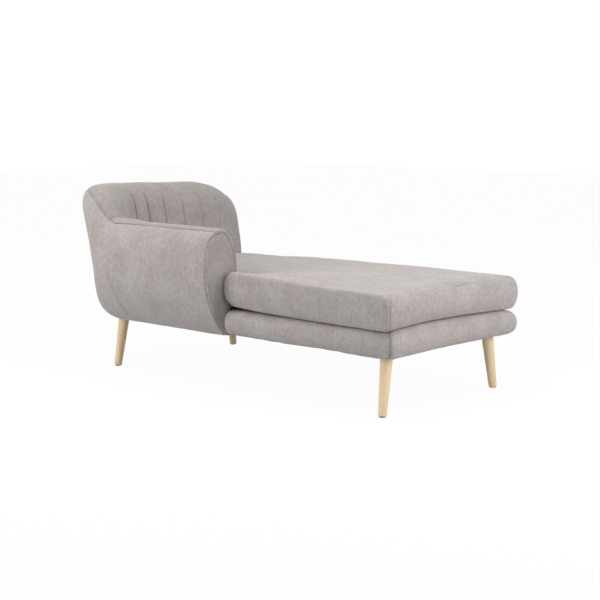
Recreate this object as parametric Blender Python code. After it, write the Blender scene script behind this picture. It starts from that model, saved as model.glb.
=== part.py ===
"""Chaise longue with one arm: timber frame, sprung seat, padded shell and a loose seat cushion.

Metres, +Z up, floor at z = 0. +X runs to the foot end and the arm stands on the -Y side.
Everything is drawn about the middle of the four feet. At the end the whole chair is moved so that
its origin lies on the floor under the middle of its outline.
"""

import math

import bmesh
import bpy
from mathutils import Vector

# Heights
LEG_HEIGHT = 0.2090
BASE_HEIGHT = 0.0990
SHELL_DROP = 0.0045
CUSHION_HEIGHT = 0.137
CUSHION_CROWN = 0.0155
CUSHION_FALL = 0.011
REAR_FALL = 0.008
ARM_HEIGHT = 0.622
BACK_HEIGHT = 0.754

# Plan: open seat edges, and the foot line, which is the lower outer edge of the arm and the back
SEAT_HALF = 0.389
FOOT_X = 0.786
SHELL_BACK_X = -0.790
SHELL_CORNER_R = 0.144
ARM_FRONT_X = -0.060
EDGE_PAD = 0.047
SIDE_SET = 0.013
BACK_SET = 0.045
BACK_FAR_IN = 0.016

# Section of the shell, as outward distance from the foot line
ARM_FLARE = 0.107
BACK_FLARE = 0.0610
ARM_FLARE_RISE = 0.250
BACK_FLARE_RISE = 0.050
BACK_WAIST_RISE = 0.1405
ARM_FLARE_POWER = 2.2
BACK_FLARE_POWER = 2.9
BACK_FLARE_ROUND = 1.9
ARM_INSIDE = 0.058
BACK_INSIDE = 0.094
OUTER_LEAN = 0.2635
INNER_LEAN = 0.200
ARM_CAP = 0.150
BACK_CAP = 0.105
CAP_POWER = 2.3
ARM_ROLL_POWER = 1.88
WAIST_BELOW = 0.010
RISE_BEFORE = 0.025
RISE_AFTER = 0.120
CORNER_SHARE = 0.80
BACK_SLOPE = 0.010
FAR_ROUND = 0.220
FAR_DROP = 0.075
FAR_POWER = 2.0
FAR_CUT = 0.97
SEAM_ANGLE = 68.0

# Layers of the shell
COVER = 0.0025
LINING = 0.0030
QUILT = 0.0120
FOAM_FACE = 0.040
FOAM_TOP = 0.024
FOAM_EDGE = 0.006
STRAP = 0.0016
STRAP_STEPS = (2.08, 2.58)
STRAP_START = 0.09
STRAP_SPAN = 0.14
FACING = 0.0145
FACING_EDGE = 0.0055
FACING_IN = 0.0080
FACING_LIP = 0.0005
CHANNELS = 6
CHANNEL_PITCH = 0.106
CHANNEL_MIDDLE_Y = 0.025
FIRST_CHANNEL_SHIFT = 0.022
CHANNEL_DEPTH = 0.0085
CHANNEL_LIP = 0.016

# Timber in the shell
RIB_T = 0.018
ARM_RIB_AHEAD = 0.070
BACK_RIB_NEAR = 0.090
BACK_RIB_MIDDLE = 0.320
SHELL_RAIL_T = 0.020
ARM_RAIL_HIGH = 0.050
ARM_RAIL_DROP = 0.125
BACK_RAIL_HIGH = 0.060
BACK_RAIL_DROP = 0.175
BACK_RAIL_RISE = 0.092
SHELL_RAIL_CLEAR = 0.025
MORTISE_PAST = 0.020

# Seat frame
RAIL_T = 0.020
RAIL_CORNER_IN = 0.010
CROSS_X = 0.230
CROSS_HIGH = 0.050
BLOCK_SIDE = 0.105
BLOCK_BACK = 0.135
BLOCK_HIGH = 0.055

# Springs, deck and base
SPRINGS = 5
SPRING_PITCH = 0.250
SPRING_SWING = 0.026
SPRING_WAVES = 10
SPRING_BEND = ((0.14, 0.86), (0.36, 1.0), (0.64, 1.0), (0.86, 0.86))
SPRING_HEM_GAP = 0.002
WIRE_R = 0.0018
DECK_T = 0.0040
DECK_HEM_GAP = 0.008
DUST_T = 0.0012
DUST_EDGE = 0.008
BASE_BULGE = 0.044
BASE_HEM = 0.010
HEM_LIP = 0.002
NOSE_POWER = 2.3
NOSE_ANGLE = 84.0

# Seat cushion
SEAT_BULGE = 0.034
FITTED_ROUND = 0.012
CUSHION_HEM = 0.050
EDGE_BOW = 0.004
FALL_START = 0.15
REAR_FALL_X = -0.14
REAR_FALL_SPAN = 0.25
CROWN_REACH = 0.67 * SEAT_HALF

# Legs
LEG_FOOT_IN = 0.039
LEG_BACK_IN = 0.045
LEG_SIDE_IN = 0.031
LEG_SPLAY_X = 0.009
LEG_SPLAY_Y = 0.032
LEG_TOP_R = 0.0230
LEG_TIP_R = 0.0155
LEG_TIP_ROUND = 0.0015
GLIDE_T = 0.0040
GLIDE_IN = 0.0030
GLIDE_ROUND = 0.0008
BOLT_R = 0.0040
BOLT_DEPTH = 0.030
BARREL_R = 0.0075
BARREL_RISE = 0.013
PLATE_T = 0.0027
PLATE_R = 0.0180

# Clearances
GAP = 0.0003
RIB_CORNER_GAP = 0.0032
FOAM_RAIL_GAP = 0.001
LEG_HOLE_GAP = 0.001
SLIP = 0.0010
SEAM_GAP = 0.002

# Places that follow in plan
RAIL_HALF = SEAT_HALF - EDGE_PAD
RAIL_FOOT_X = FOOT_X - EDGE_PAD
RAIL_BACK_X = SHELL_BACK_X + BACK_SET
SHELL_SIDE_Y = -RAIL_HALF - SIDE_SET
BACK_FAR_Y = SEAT_HALF - BACK_FAR_IN

# Levels that follow
DUST_Z = LEG_HEIGHT
SHELL_Z = DUST_Z - SHELL_DROP
PLATE_Z = DUST_Z + DUST_T + 2.0 * GAP
RAIL_Z = PLATE_Z + PLATE_T + GAP
DECK_Z = LEG_HEIGHT + BASE_HEIGHT
SPRING_Z = DECK_Z - DECK_T - GAP - WIRE_R
RAIL_TOP = SPRING_Z - WIRE_R - GAP
SEAT_Z = DECK_Z + SLIP
WAIST_Z = SHELL_Z + ARM_FLARE_RISE
BACK_WAIST_Z = SHELL_Z + BACK_WAIST_RISE

# Runs along the foot line: arm, corner, back
CORNER_X = SHELL_BACK_X + SHELL_CORNER_R
CORNER_Y = SHELL_SIDE_Y + SHELL_CORNER_R
ARM_RUN = ARM_FRONT_X - CORNER_X
CORNER_RUN = SHELL_CORNER_R * math.pi / 2.0
BACK_RUN = BACK_FAR_Y - CORNER_Y
RUN = ARM_RUN + CORNER_RUN + BACK_RUN
SPLIT = ARM_RUN - RISE_BEFORE

# Steps up the section: top seam, fullest top foam, start of the timber, head of the channels
SEAM = 1.0 + SEAM_ANGLE / 180.0
FOAM_TOP_STEP = 1.55
CORE_STEP = 0.85
CORE_SPAN = 0.60
CHANNEL_STEP = 1.62
CHANNEL_FADE = 0.20

ENDS = ((-1.0, "back"), (1.0, "foot"))
SIDES = ((-1.0, "near"), (1.0, "far"))


def clear_scene():
    for ob in list(bpy.data.objects):
        bpy.data.objects.remove(ob, do_unlink=True)


def make_material(name, colour, roughness, metallic=0.0):
    mat = bpy.data.materials.new(name)
    mat.use_nodes = True
    shader = mat.node_tree.nodes["Principled BSDF"]
    shader.inputs["Base Color"].default_value = (*colour, 1.0)
    shader.inputs["Roughness"].default_value = roughness
    shader.inputs["Metallic"].default_value = metallic
    return mat


def finish(name, bm, mat, smooth=True):
    """Turn a bmesh into a named object whose faces all point outwards."""
    bmesh.ops.recalc_face_normals(bm, faces=bm.faces)
    mesh = bpy.data.meshes.new(name)
    bm.to_mesh(mesh)
    bm.free()
    mesh.materials.append(mat)
    for poly in mesh.polygons:
        poly.use_smooth = smooth
    ob = bpy.data.objects.new(name, mesh)
    bpy.context.collection.objects.link(ob)
    return ob


def skin_rings(bm, rings, cap_start, cap_end, loop=False):
    """Join rings of equal length with quads, capping either end if asked."""
    rows = [[bm.verts.new(p) for p in ring] for ring in rings]
    pairs = list(zip(rows, rows[1:]))
    if loop:
        pairs.append((rows[-1], rows[0]))
    count = len(rows[0])
    for a, b in pairs:
        for j in range(count):
            k = (j + 1) % count
            bm.faces.new((a[j], a[k], b[k], b[j]))
    if cap_start:
        bm.faces.new(rows[0])
    if cap_end:
        bm.faces.new(rows[-1])
    return rows


def lofted(name, rings, mat, loop=False, smooth=True):
    bm = bmesh.new()
    skin_rings(bm, rings, not loop, not loop, loop)
    return finish(name, bm, mat, smooth)


def slab(name, face, back, mat):
    """Closed sheet between two grids of points, each a list of equal rows."""
    bm = bmesh.new()
    a = [[bm.verts.new(p) for p in row] for row in face]
    b = [[bm.verts.new(p) for p in row] for row in back]
    rows = len(a)
    cols = len(a[0])
    for grid in (a, b):
        for i in range(rows - 1):
            for j in range(cols - 1):
                bm.faces.new((grid[i][j], grid[i + 1][j], grid[i + 1][j + 1], grid[i][j + 1]))
    for j in (0, cols - 1):
        for i in range(rows - 1):
            bm.faces.new((a[i][j], a[i + 1][j], b[i + 1][j], b[i][j]))
    for i in (0, rows - 1):
        for j in range(cols - 1):
            bm.faces.new((a[i][j], a[i][j + 1], b[i][j + 1], b[i][j]))
    return finish(name, bm, mat)


def prism(name, plan, z0, z1, mat):
    rings = [[Vector((x, y, z)) for x, y in plan] for z in (z0, z1)]
    return lofted(name, rings, mat, smooth=False)


def box(name, x0, x1, y0, y1, z0, z1, mat):
    return prism(name, ((x0, y0), (x1, y0), (x1, y1), (x0, y1)), z0, z1, mat)


def cut(ob, cutter):
    """Cut one piece with another and keep the cutter as a hidden wire."""
    mod = ob.modifiers.new("cut " + cutter.name, "BOOLEAN")
    mod.operation = "DIFFERENCE"
    mod.solver = "EXACT"
    mod.object = cutter
    cutter.hide_render = True
    cutter.display_type = "WIRE"


def circle(x, y, z, r, count=16):
    steps = [2.0 * math.pi * k / count for k in range(count)]
    return [Vector((x + r * math.cos(a), y + r * math.sin(a), z)) for a in steps]


def ease(x):
    x = min(max(x, 0.0), 1.0)
    return x * x * (3.0 - 2.0 * x)


def spread(a, b, count):
    return [a + (b - a) * k / (count - 1) for k in range(count)]


def foot_line(u):
    """Point and outward direction at distance u along the shell's foot line."""
    if u <= ARM_RUN:
        return Vector((ARM_FRONT_X - u, SHELL_SIDE_Y, 0.0)), Vector((0.0, -1.0, 0.0))
    if u <= ARM_RUN + CORNER_RUN:
        a = (u - ARM_RUN) / SHELL_CORNER_R
        out = Vector((-math.sin(a), -math.cos(a), 0.0))
        return Vector((CORNER_X, CORNER_Y, 0.0)) + out * SHELL_CORNER_R, out
    y = CORNER_Y + u - ARM_RUN - CORNER_RUN
    return Vector((SHELL_BACK_X, y, 0.0)), Vector((-1.0, 0.0, 0.0))


def backness(u):
    """0 on the arm, 1 on the back, changing round the corner."""
    return ease((u - ARM_RUN) / (CORNER_SHARE * CORNER_RUN))


def turned(u, on_arm, on_back):
    """A size that changes from its value on the arm to its value on the back."""
    return on_arm + (on_back - on_arm) * backness(u)


def top_height(u):
    """Height of the shell: the arm rises into the back, which slopes and rounds off to its far end."""
    rise = ease((u - ARM_RUN + RISE_BEFORE) / (RISE_BEFORE + RISE_AFTER))
    slope = min(max((u - ARM_RUN - CORNER_RUN) / (BACK_RUN - FAR_ROUND), 0.0), 1.0)
    far = min(max((u - RUN + FAR_ROUND) / FAR_ROUND, 0.0), 1.0)
    drop = FAR_DROP * (1.0 - (1.0 - FAR_CUT * far ** FAR_POWER) ** (1.0 / FAR_POWER))
    return ARM_HEIGHT + (BACK_HEIGHT - ARM_HEIGHT) * rise - BACK_SLOPE * slope - drop


def outer_face(u, z):
    h = min(max((z - SHELL_Z) / turned(u, ARM_FLARE_RISE, BACK_FLARE_RISE), 0.0), 1.0)
    power = turned(u, ARM_FLARE_POWER, BACK_FLARE_POWER)
    bend = turned(u, 1.0, BACK_FLARE_ROUND)
    flare = turned(u, ARM_FLARE, BACK_FLARE) * (1.0 - (1.0 - h) ** power) ** (1.0 / bend)
    return flare + backness(u) * OUTER_LEAN * max(z - BACK_WAIST_Z, 0.0)


def inner_face(u, z):
    return backness(u) * INNER_LEAN * max(z - WAIST_Z, 0.0) - turned(u, ARM_INSIDE, BACK_INSIDE)


def section(u, t):
    """Outline of the shell: t 0-1 up the outside, 1-2 over the top, 2-3 down the inside.

    Inside, t 2.5 is the waist where the face stops leaning.
    """
    cap = turned(u, ARM_CAP, BACK_CAP)
    spring = top_height(u) - cap
    if t <= 1.0:
        z = SHELL_Z + (spring - SHELL_Z) * t
        return outer_face(u, z), z
    if t >= 2.0:
        waist = min(WAIST_Z, spring - WAIST_BELOW)
        z = spring + (waist - spring) * min(t - 2.0, 0.5) * 2.0
        z += (SEAT_Z - waist) * max(t - 2.5, 0.0) * 2.0
        return inner_face(u, z), z
    a = math.pi * (t - 1.0)
    c = math.cos(a)
    s = math.sin(a)
    power = CAP_POWER if t <= 1.5 else turned(u, ARM_ROLL_POWER, CAP_POWER)
    reach = math.copysign(abs(c) ** (2.0 / power), c)
    z = spring + cap * max(s, 0.0) ** (2.0 / power)
    outside = outer_face(u, spring)
    inside = inner_face(u, spring)
    lean = backness(u) * 0.5 * (OUTER_LEAN + INNER_LEAN) * (z - spring)
    return 0.5 * (outside + inside) + 0.5 * (outside - inside) * reach + lean, z


def inset(u, t, depth):
    """Section point moved into the shell by depth, square to the outline."""
    step = 0.02
    t0 = max(t - step, 0.0)
    t1 = min(t + step, 3.0)
    d0, z0 = section(u, t0)
    d1, z1 = section(u, t1)
    length = math.hypot(d1 - d0, z1 - z0)
    d, z = section(u, t)
    return d - depth * (z1 - z0) / length, z + depth * (d1 - d0) / length


def in_shell(u, d, z):
    point, out = foot_line(u)
    return Vector((point.x + out.x * d, point.y + out.y * d, z))


def on_shell(u, t, depth):
    d, z = inset(u, t, depth)
    return in_shell(u, d, z)


def foam_depth(t):
    """Depth of the foam's back from the inside cover, thin at the seam and full on the face."""
    rise = ease((t - SEAM) / (FOAM_TOP_STEP - SEAM))
    fall = ease((t - FOAM_TOP_STEP) / (2.0 - FOAM_TOP_STEP))
    return QUILT + GAP + FOAM_EDGE + (FOAM_TOP - FOAM_EDGE) * rise + (FOAM_FACE - FOAM_TOP) * fall


def core_depth(t):
    """Depth of the timber below the outline, close under the lining outside."""
    outside = COVER + LINING + 3.0 * GAP
    inside = foam_depth(t) + STRAP + 3.0 * GAP
    return outside + (inside - outside) * ease((t - CORE_STEP) / CORE_SPAN)


def core_middle(u, z):
    """Outward distance of the middle of the timber zone."""
    return 0.5 * (outer_face(u, z) - core_depth(0.0) + inner_face(u, z) + core_depth(2.0))


def shell_layer(name, us, ts, near, far, mat):
    face = [[on_shell(u, t, near(u, t)) for t in ts] for u in us]
    back = [[on_shell(u, t, far(u, t)) for t in ts] for u in us]
    return slab(name, face, back, mat)


def channel_runs():
    middle = ARM_RUN + CORNER_RUN + CHANNEL_MIDDLE_Y - CORNER_Y
    runs = [middle + CHANNEL_PITCH * (k - 0.5 * (CHANNELS - 1)) for k in range(CHANNELS)]
    runs[0] += FIRST_CHANNEL_SHIFT
    return runs


def channel(u, t):
    """Depth of the sewn channels in the inside back, fading out below the top."""
    near = min(abs(u - c) for c in channel_runs())
    return CHANNEL_DEPTH * max(1.0 - near / CHANNEL_LIP, 0.0) * ease((t - CHANNEL_STEP) / CHANNEL_FADE)


def outside_ts():
    """Steps up the outside of the section, as far as the top seam."""
    return [0.0, 0.02, 0.05, 0.12, 0.22, 0.36, 0.54, 0.75] + spread(0.9, SEAM - SEAM_GAP, 4)


def inside_ts():
    """Steps from the top seam over the roll and down the inside."""
    return spread(SEAM + SEAM_GAP, 1.9, 6) + [2.0, 2.5, 3.0]


def arm_columns():
    return spread(0.0, SPLIT - GAP, 4)


def channel_columns(run):
    return [run - 0.5 * CHANNEL_PITCH, run - CHANNEL_LIP, run, run + CHANNEL_LIP]


def corner_columns():
    """Columns round the corner, where the layers must share their facets."""
    first = channel_columns(channel_runs()[0])
    columns = [SPLIT + GAP] + spread(ARM_RUN, first[0], 7)[:-1] + first + [ARM_RUN + CORNER_RUN]
    return sorted(columns)


def far_columns():
    """Columns over the falling far end of the back."""
    runs = [u for c in channel_runs()[-2:] for u in channel_columns(c)[1:]]
    return sorted([RUN - FAR_ROUND] + runs + [RUN - 0.030, RUN - 0.012, RUN])


def make_shell(cloth, quilt, foam, lining, webbing):
    arm = arm_columns()
    back = corner_columns() + far_columns()
    quilted = [u for c in channel_runs()[1:-2] for u in channel_columns(c)]
    quilted = sorted(set(back + quilted))

    def at(depth):
        return lambda u, t: depth

    outside = outside_ts()
    inside = inside_ts()
    under = at(COVER + GAP)
    board = at(COVER + GAP + LINING)
    for side, columns in (("arm", arm), ("back", back)):
        shell_layer(f"{side}_outside_cover", columns, outside, at(0.0), at(COVER), cloth)
        shell_layer(f"{side}_outside_board", columns, outside[:-2], under, board, lining)
    shell_layer("arm_inside_cover", arm, inside, at(0.0), at(QUILT), quilt)
    shell_layer("back_inside_panel", quilted, inside, channel, at(QUILT), quilt)

    def foam_back(u, t):
        return foam_depth(t)

    def rear(u, t):
        return foam_depth(t) + GAP

    def rear_board(u, t):
        return foam_depth(t) + GAP + STRAP

    for side, columns in (("arm", arm), ("back", back)):
        shell_layer(f"{side}_foam", columns, inside, at(QUILT + GAP), foam_back, foam)
    shell_layer("arm_inside_board", arm, inside[-3:], rear, rear_board, lining)
    strapped = [u for u in back if u > ARM_RUN + STRAP_START]
    for k, t in enumerate(STRAP_STEPS):
        shell_layer(f"back_strap_{k + 1}", strapped, [t, t + STRAP_SPAN], rear, rear_board, webbing)


def in_corner(u):
    return ARM_RUN < u < ARM_RUN + CORNER_RUN


def rail_side(u):
    """Distance of the seat frame's outer face inside the foot line."""
    if in_corner(u):
        return RAIL_CORNER_IN
    return SIDE_SET if u <= ARM_RUN else BACK_SET


def corner_reach(offset):
    """How far the frame may reach from the corner's centre line at this offset from the other one."""
    return math.sqrt(max((SHELL_CORNER_R - RAIL_CORNER_IN) ** 2 - offset ** 2, 0.0))


def rib_outline(u, loose):
    """Outline of a plywood rib in the section at u, standing against the seat frame."""
    flat = [inset(u, t, core_depth(t) + loose) for t in outside_ts()[2:] + inside_ts()]
    inside = -rail_side(u) + GAP
    flat.append((inside, DECK_Z - DECK_T - GAP))
    flat.append((inside, flat[0][1]))
    return flat


def rib(name, u, mat):
    half = 0.5 * RIB_T
    if in_corner(u):
        out = foot_line(u)[1]
        along = Vector((out.y, -out.x, 0.0)) * half
        ring = [in_shell(u, d, z) for d, z in rib_outline(u, RIB_CORNER_GAP)]
        rings = [[p - along for p in ring], [p + along for p in ring]]
    else:
        rings = [[in_shell(v, d, z) for d, z in rib_outline(v, 0.0)] for v in (u - half, u + half)]
    return lofted(name, rings, mat, smooth=False)


def make_frame(timber):
    inner = RAIL_HALF - RAIL_T
    foot = RAIL_FOOT_X - RAIL_T
    back_in = RAIL_BACK_X + RAIL_T
    near = ((CORNER_X - corner_reach(RAIL_HALF + CORNER_Y), -RAIL_HALF), (RAIL_FOOT_X, -RAIL_HALF),
            (RAIL_FOOT_X, -inner), (CORNER_X - corner_reach(inner + CORNER_Y), -inner))
    prism("rail_near", near, RAIL_Z, RAIL_TOP, timber)
    box("rail_far", RAIL_BACK_X, RAIL_FOOT_X, inner, RAIL_HALF, RAIL_Z, RAIL_TOP, timber)
    box("rail_foot", foot, RAIL_FOOT_X, -inner + GAP, inner - GAP, RAIL_Z, RAIL_TOP, timber)
    near_out = CORNER_Y - corner_reach(RAIL_BACK_X - CORNER_X)
    near_in = max(CORNER_Y - corner_reach(back_in - CORNER_X), GAP - inner)
    back = ((RAIL_BACK_X, near_out), (back_in, near_in), (back_in, inner - GAP), (RAIL_BACK_X, inner - GAP))
    prism("rail_back", back, RAIL_Z, RAIL_TOP, timber)
    for k, x in enumerate((-CROSS_X, CROSS_X - RAIL_T)):
        box(f"cross_rail_{k + 1}", x, x + RAIL_T, -inner + GAP, inner - GAP,
            RAIL_Z, RAIL_Z + CROSS_HIGH, timber)
    for sx, end in ENDS:
        for sy, side in SIDES:
            x = foot - GAP if sx > 0.0 else back_in + GAP
            y = sy * (inner - GAP)
            wide = BLOCK_SIDE if sx > 0.0 else BLOCK_BACK
            plan = [(x - sx * wide, y), (x, y - sy * BLOCK_SIDE), (x, y)]
            if sx < 0.0 and sy < 0.0:
                plan[2:] = [(x, max(y, CORNER_Y - corner_reach(x - CORNER_X))),
                            (max(x, CORNER_X - corner_reach(y - CORNER_Y)), y)]
            block = prism(f"corner_block_{side}_{end}", plan, RAIL_Z, RAIL_Z + BLOCK_HIGH, timber)
            top = leg_top(sx, sy)
            levels = (RAIL_Z - BARREL_RISE, RAIL_Z + BARREL_RISE + GAP)
            rings = [circle(top.x, top.y, z, BARREL_R + GAP) for z in levels]
            cut(block, lofted(f"barrel_hole_{side}_{end}", rings, timber))


def make_ribs(timber, ply):
    half = 0.5 * RIB_T
    back = ARM_RUN + CORNER_RUN
    stations = {
        "arm_rib_front": half + GAP,
        "arm_rib_rear": ARM_RUN - ARM_RIB_AHEAD,
        "corner_rib": ARM_RUN + 0.5 * CORNER_RUN,
        "back_rib_near": back + BACK_RIB_NEAR,
        "back_rib_middle": back + BACK_RIB_MIDDLE,
        "back_rib_far": RUN - half - GAP,
    }
    ribs = {name: rib(name, u, ply) for name, u in stations.items()}
    wide = 0.5 * SHELL_RAIL_T
    z = ARM_HEIGHT - ARM_RAIL_DROP
    y = SHELL_SIDE_Y - core_middle(0.0, z)
    mortised(ribs, ("arm_rib_front", "arm_rib_rear"), "arm_rail", timber,
             (CORNER_X + SHELL_RAIL_CLEAR, ARM_FRONT_X - GAP, y - wide, y + wide, z, z + ARM_RAIL_HIGH))
    heights = {"back_rail_low": DECK_Z + BACK_RAIL_RISE, "back_rail_high": BACK_HEIGHT - BACK_RAIL_DROP}
    for name, z in heights.items():
        x = SHELL_BACK_X - core_middle(back, z + 0.5 * BACK_RAIL_HIGH)
        mortised(ribs, ("back_rib_near", "back_rib_middle", "back_rib_far"), name, timber,
                 (x - wide, x + wide, CORNER_Y + SHELL_RAIL_CLEAR, BACK_FAR_Y - GAP, z, z + BACK_RAIL_HIGH))


def mortised(ribs, names, rail, timber, size):
    """A rail run through square holes cut in the named ribs."""
    x0, x1, y0, y1, z0, z1 = size
    box(rail, x0, x1, y0, y1, z0, z1, timber)
    along_x = x1 - x0 > y1 - y0
    gx = MORTISE_PAST if along_x else GAP
    gy = GAP if along_x else MORTISE_PAST
    hole = box(rail + "_hole", x0 - gx, x1 + gx, y0 - gy, y1 + gy, z0 - GAP, z1 + GAP, timber)
    for name in names:
        cut(ribs[name], hole)


def make_springs(steel):
    """Zigzag wires across the seat, with their ends lying on the side rails."""
    inner = RAIL_HALF - RAIL_T
    end = RAIL_HALF - BASE_HEM - SPRING_HEM_GAP
    run = 2.0 * inner / SPRING_WAVES
    for n in range(SPRINGS):
        x = SPRING_PITCH * (n - 0.5 * (SPRINGS - 1))
        points = [(x, -end)]
        for k in range(SPRING_WAVES):
            side = 1.0 if k % 2 == 0 else -1.0
            y = -inner + run * k
            for along, across in SPRING_BEND:
                points.append((x + side * across * SPRING_SWING, y + run * along))
        points.append((x, end))
        name = f"seat_spring_{n + 1}"
        curve = bpy.data.curves.new(name, "CURVE")
        curve.dimensions = "3D"
        curve.bevel_depth = WIRE_R
        curve.bevel_resolution = 0
        curve.use_fill_caps = True
        line = curve.splines.new("POLY")
        line.points.add(len(points) - 1)
        for p, (px, py) in zip(line.points, points):
            p.co = (px, py, SPRING_Z, 1.0)
        curve.materials.append(steel)
        ob = bpy.data.objects.new(name, curve)
        bpy.context.collection.objects.link(ob)


def bullnose(hollow, bulge, half, steps):
    """Rounded edge as (outward distance, height above the middle), top to bottom."""
    line = []
    for degrees in spread(NOSE_ANGLE, -NOSE_ANGLE, steps):
        a = math.radians(degrees)
        s = math.sin(a)
        rise = math.copysign(abs(s) ** (2.0 / NOSE_POWER), s)
        line.append((hollow + bulge * math.cos(a) ** (2.0 / NOSE_POWER), half * rise))
    return line


def offset_line(line, depth):
    moved = []
    for k, (q, z) in enumerate(line):
        q0, z0 = line[max(k - 1, 0)]
        q1, z1 = line[min(k + 1, len(line) - 1)]
        length = math.hypot(q1 - q0, z1 - z0)
        moved.append((q + depth * (z1 - z0) / length, z - depth * (q1 - q0) / length))
    return moved


def base_path(q):
    """Plan of the open base edge at distance q outside the rails, arm to foot to back."""
    y = RAIL_HALF + q
    x = RAIL_FOOT_X + q
    start = ARM_FRONT_X + FACING + 3.0 * GAP
    stop = SHELL_BACK_X + BACK_INSIDE + 3.0 * GAP
    near = [(px, -y) for px in spread(start, x, 5)]
    foot = [(x, py) for py in spread(-y, y, 5)[1:-1]]
    far = [(px, y) for px in spread(x, stop, 7)]
    return near + foot + far


def base_grid(line):
    """Rows of points along the base edge, one for each step of its profile."""
    return [[(x, y, z) for x, y in base_path(q)] for q, z in line]


def make_base(cloth, foam, felt, dust):
    hem_top = RAIL_TOP + GAP + COVER
    hem_low = RAIL_Z - GAP - COVER
    top = DECK_Z - GAP
    half = 0.5 * (top - hem_low)
    middle = 0.5 * (top + hem_low)
    nose = [(q, middle + h) for q, h in bullnose(EDGE_PAD - BASE_BULGE, BASE_BULGE, half, 9)]
    line = [(-BASE_HEM, hem_top), (-HEM_LIP, hem_top)] + nose + [(-HEM_LIP, hem_low), (-BASE_HEM, hem_low)]
    slab("base_cover", base_grid(line), base_grid(offset_line(line, COVER)), cloth)
    core = offset_line(line, COVER + GAP)[2:-2]
    levels = spread(RAIL_TOP - FOAM_RAIL_GAP, RAIL_Z + FOAM_RAIL_GAP, len(core))
    slab("base_edge_foam", base_grid(core), base_grid([(GAP, z) for z in levels]), foam)

    inset_hem = BASE_HEM + DECK_HEM_GAP
    inner = RAIL_HALF - inset_hem
    box("deck_pad", SHELL_BACK_X + BACK_INSIDE, RAIL_FOOT_X - inset_hem, -inner, inner,
        DECK_Z - DECK_T, DECK_Z, felt)
    foot = RAIL_FOOT_X - DUST_EDGE
    side = RAIL_HALF - DUST_EDGE
    plan = [(foot, -side), (foot, side), (SHELL_BACK_X + DUST_EDGE, side)]
    for u in reversed(spread(ARM_RUN, ARM_RUN + CORNER_RUN, 6)):
        corner = in_shell(u, -DUST_EDGE, DUST_Z)
        plan.append((corner.x, max(corner.y, -side)))
    sheet = prism("dust_cover", plan, DUST_Z, DUST_Z + DUST_T, dust)
    for sx, end in ENDS:
        for sy, side in SIDES:
            top = leg_top(sx, sy)
            rings = [circle(top.x, top.y, z, LEG_TOP_R + LEG_HOLE_GAP) for z in (0.5 * DUST_Z, 1.5 * DUST_Z)]
            cut(sheet, lofted(f"leg_hole_{side}_{end}", rings, dust))


def cushion_ring(side, snug, inward, z):
    """One level of the cushion: side is the inset of the open edges, snug that of the fitted ones.

    The top falls to the back, most of all beside the arm, so heights depend on the place along the seat.
    """
    x_foot = FOOT_X - side - inward
    y_side = SEAT_HALF - side - inward
    x_back = SHELL_BACK_X + BACK_INSIDE + SLIP + snug + inward
    y_arm = SHELL_SIDE_Y + ARM_INSIDE + SLIP + snug + inward
    x_ear = ARM_FRONT_X + FACING + SLIP + 2.0 * GAP + 0.5 * (side + snug) + inward
    ring = []

    def level(px, py):
        share = (z - SEAT_Z) / CUSHION_HEIGHT
        fall = CUSHION_FALL * ease((FOOT_X - px) / (FOOT_X - x_back) - FALL_START)
        fall += REAR_FALL * ease((REAR_FALL_X - px) / REAR_FALL_SPAN)
        return Vector((px, py, z - share * fall))

    def edge(ax, ay, bx, by, count, bow):
        dx = bx - ax
        dy = by - ay
        length = math.hypot(dx, dy)
        for k in range(count):
            f = k / count
            pull = bow * math.sin(math.pi * f)
            ring.append(level(ax + dx * f - dy / length * pull, ay + dy * f + dx / length * pull))

    edge(x_foot, -y_side, x_foot, y_side, 7, EDGE_BOW)
    edge(x_foot, y_side, x_back, y_side, 10, EDGE_BOW)
    edge(x_back, y_side, x_back, CORNER_Y + inward, 5, 0.0)
    for u in reversed(spread(ARM_RUN, ARM_RUN + CORNER_RUN, 7)[1:]):
        corner = in_shell(u, inner_face(u, SEAT_Z) - SLIP - snug, z)
        ring.append(level(corner.x + inward, corner.y + inward))
    edge(CORNER_X + inward, y_arm, x_ear, y_arm, 5, 0.0)
    edge(x_ear, y_arm, x_ear, -y_side, 2, 0.0)
    edge(x_ear, -y_side, x_foot, -y_side, 7, EDGE_BOW)
    return ring


def cushion_rings(depth, hem, angles, crown):
    """Rings from the hem under the cushion, round the edge and in over the crown."""
    half = 0.5 * CUSHION_HEIGHT
    middle = SEAT_Z + half
    rings = []
    if hem > 0.0:
        rings.append(cushion_ring(SEAT_BULGE, FITTED_ROUND, hem, SEAT_Z + depth))
    for degrees in angles:
        a = math.radians(degrees)
        c = max(math.cos(a), 0.0)
        side = SEAT_BULGE * (1.0 - c) + depth * c
        snug = FITTED_ROUND * (1.0 - c ** 0.35) + depth
        rings.append(cushion_ring(side, snug, 0.0, middle + (half - depth) * math.sin(a)))
    for share in crown:
        z = middle + half - depth + CUSHION_CROWN * (1.0 - (1.0 - share) ** 2)
        rings.append(cushion_ring(SEAT_BULGE, FITTED_ROUND, share * CROWN_REACH, z))
    return rings


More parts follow.
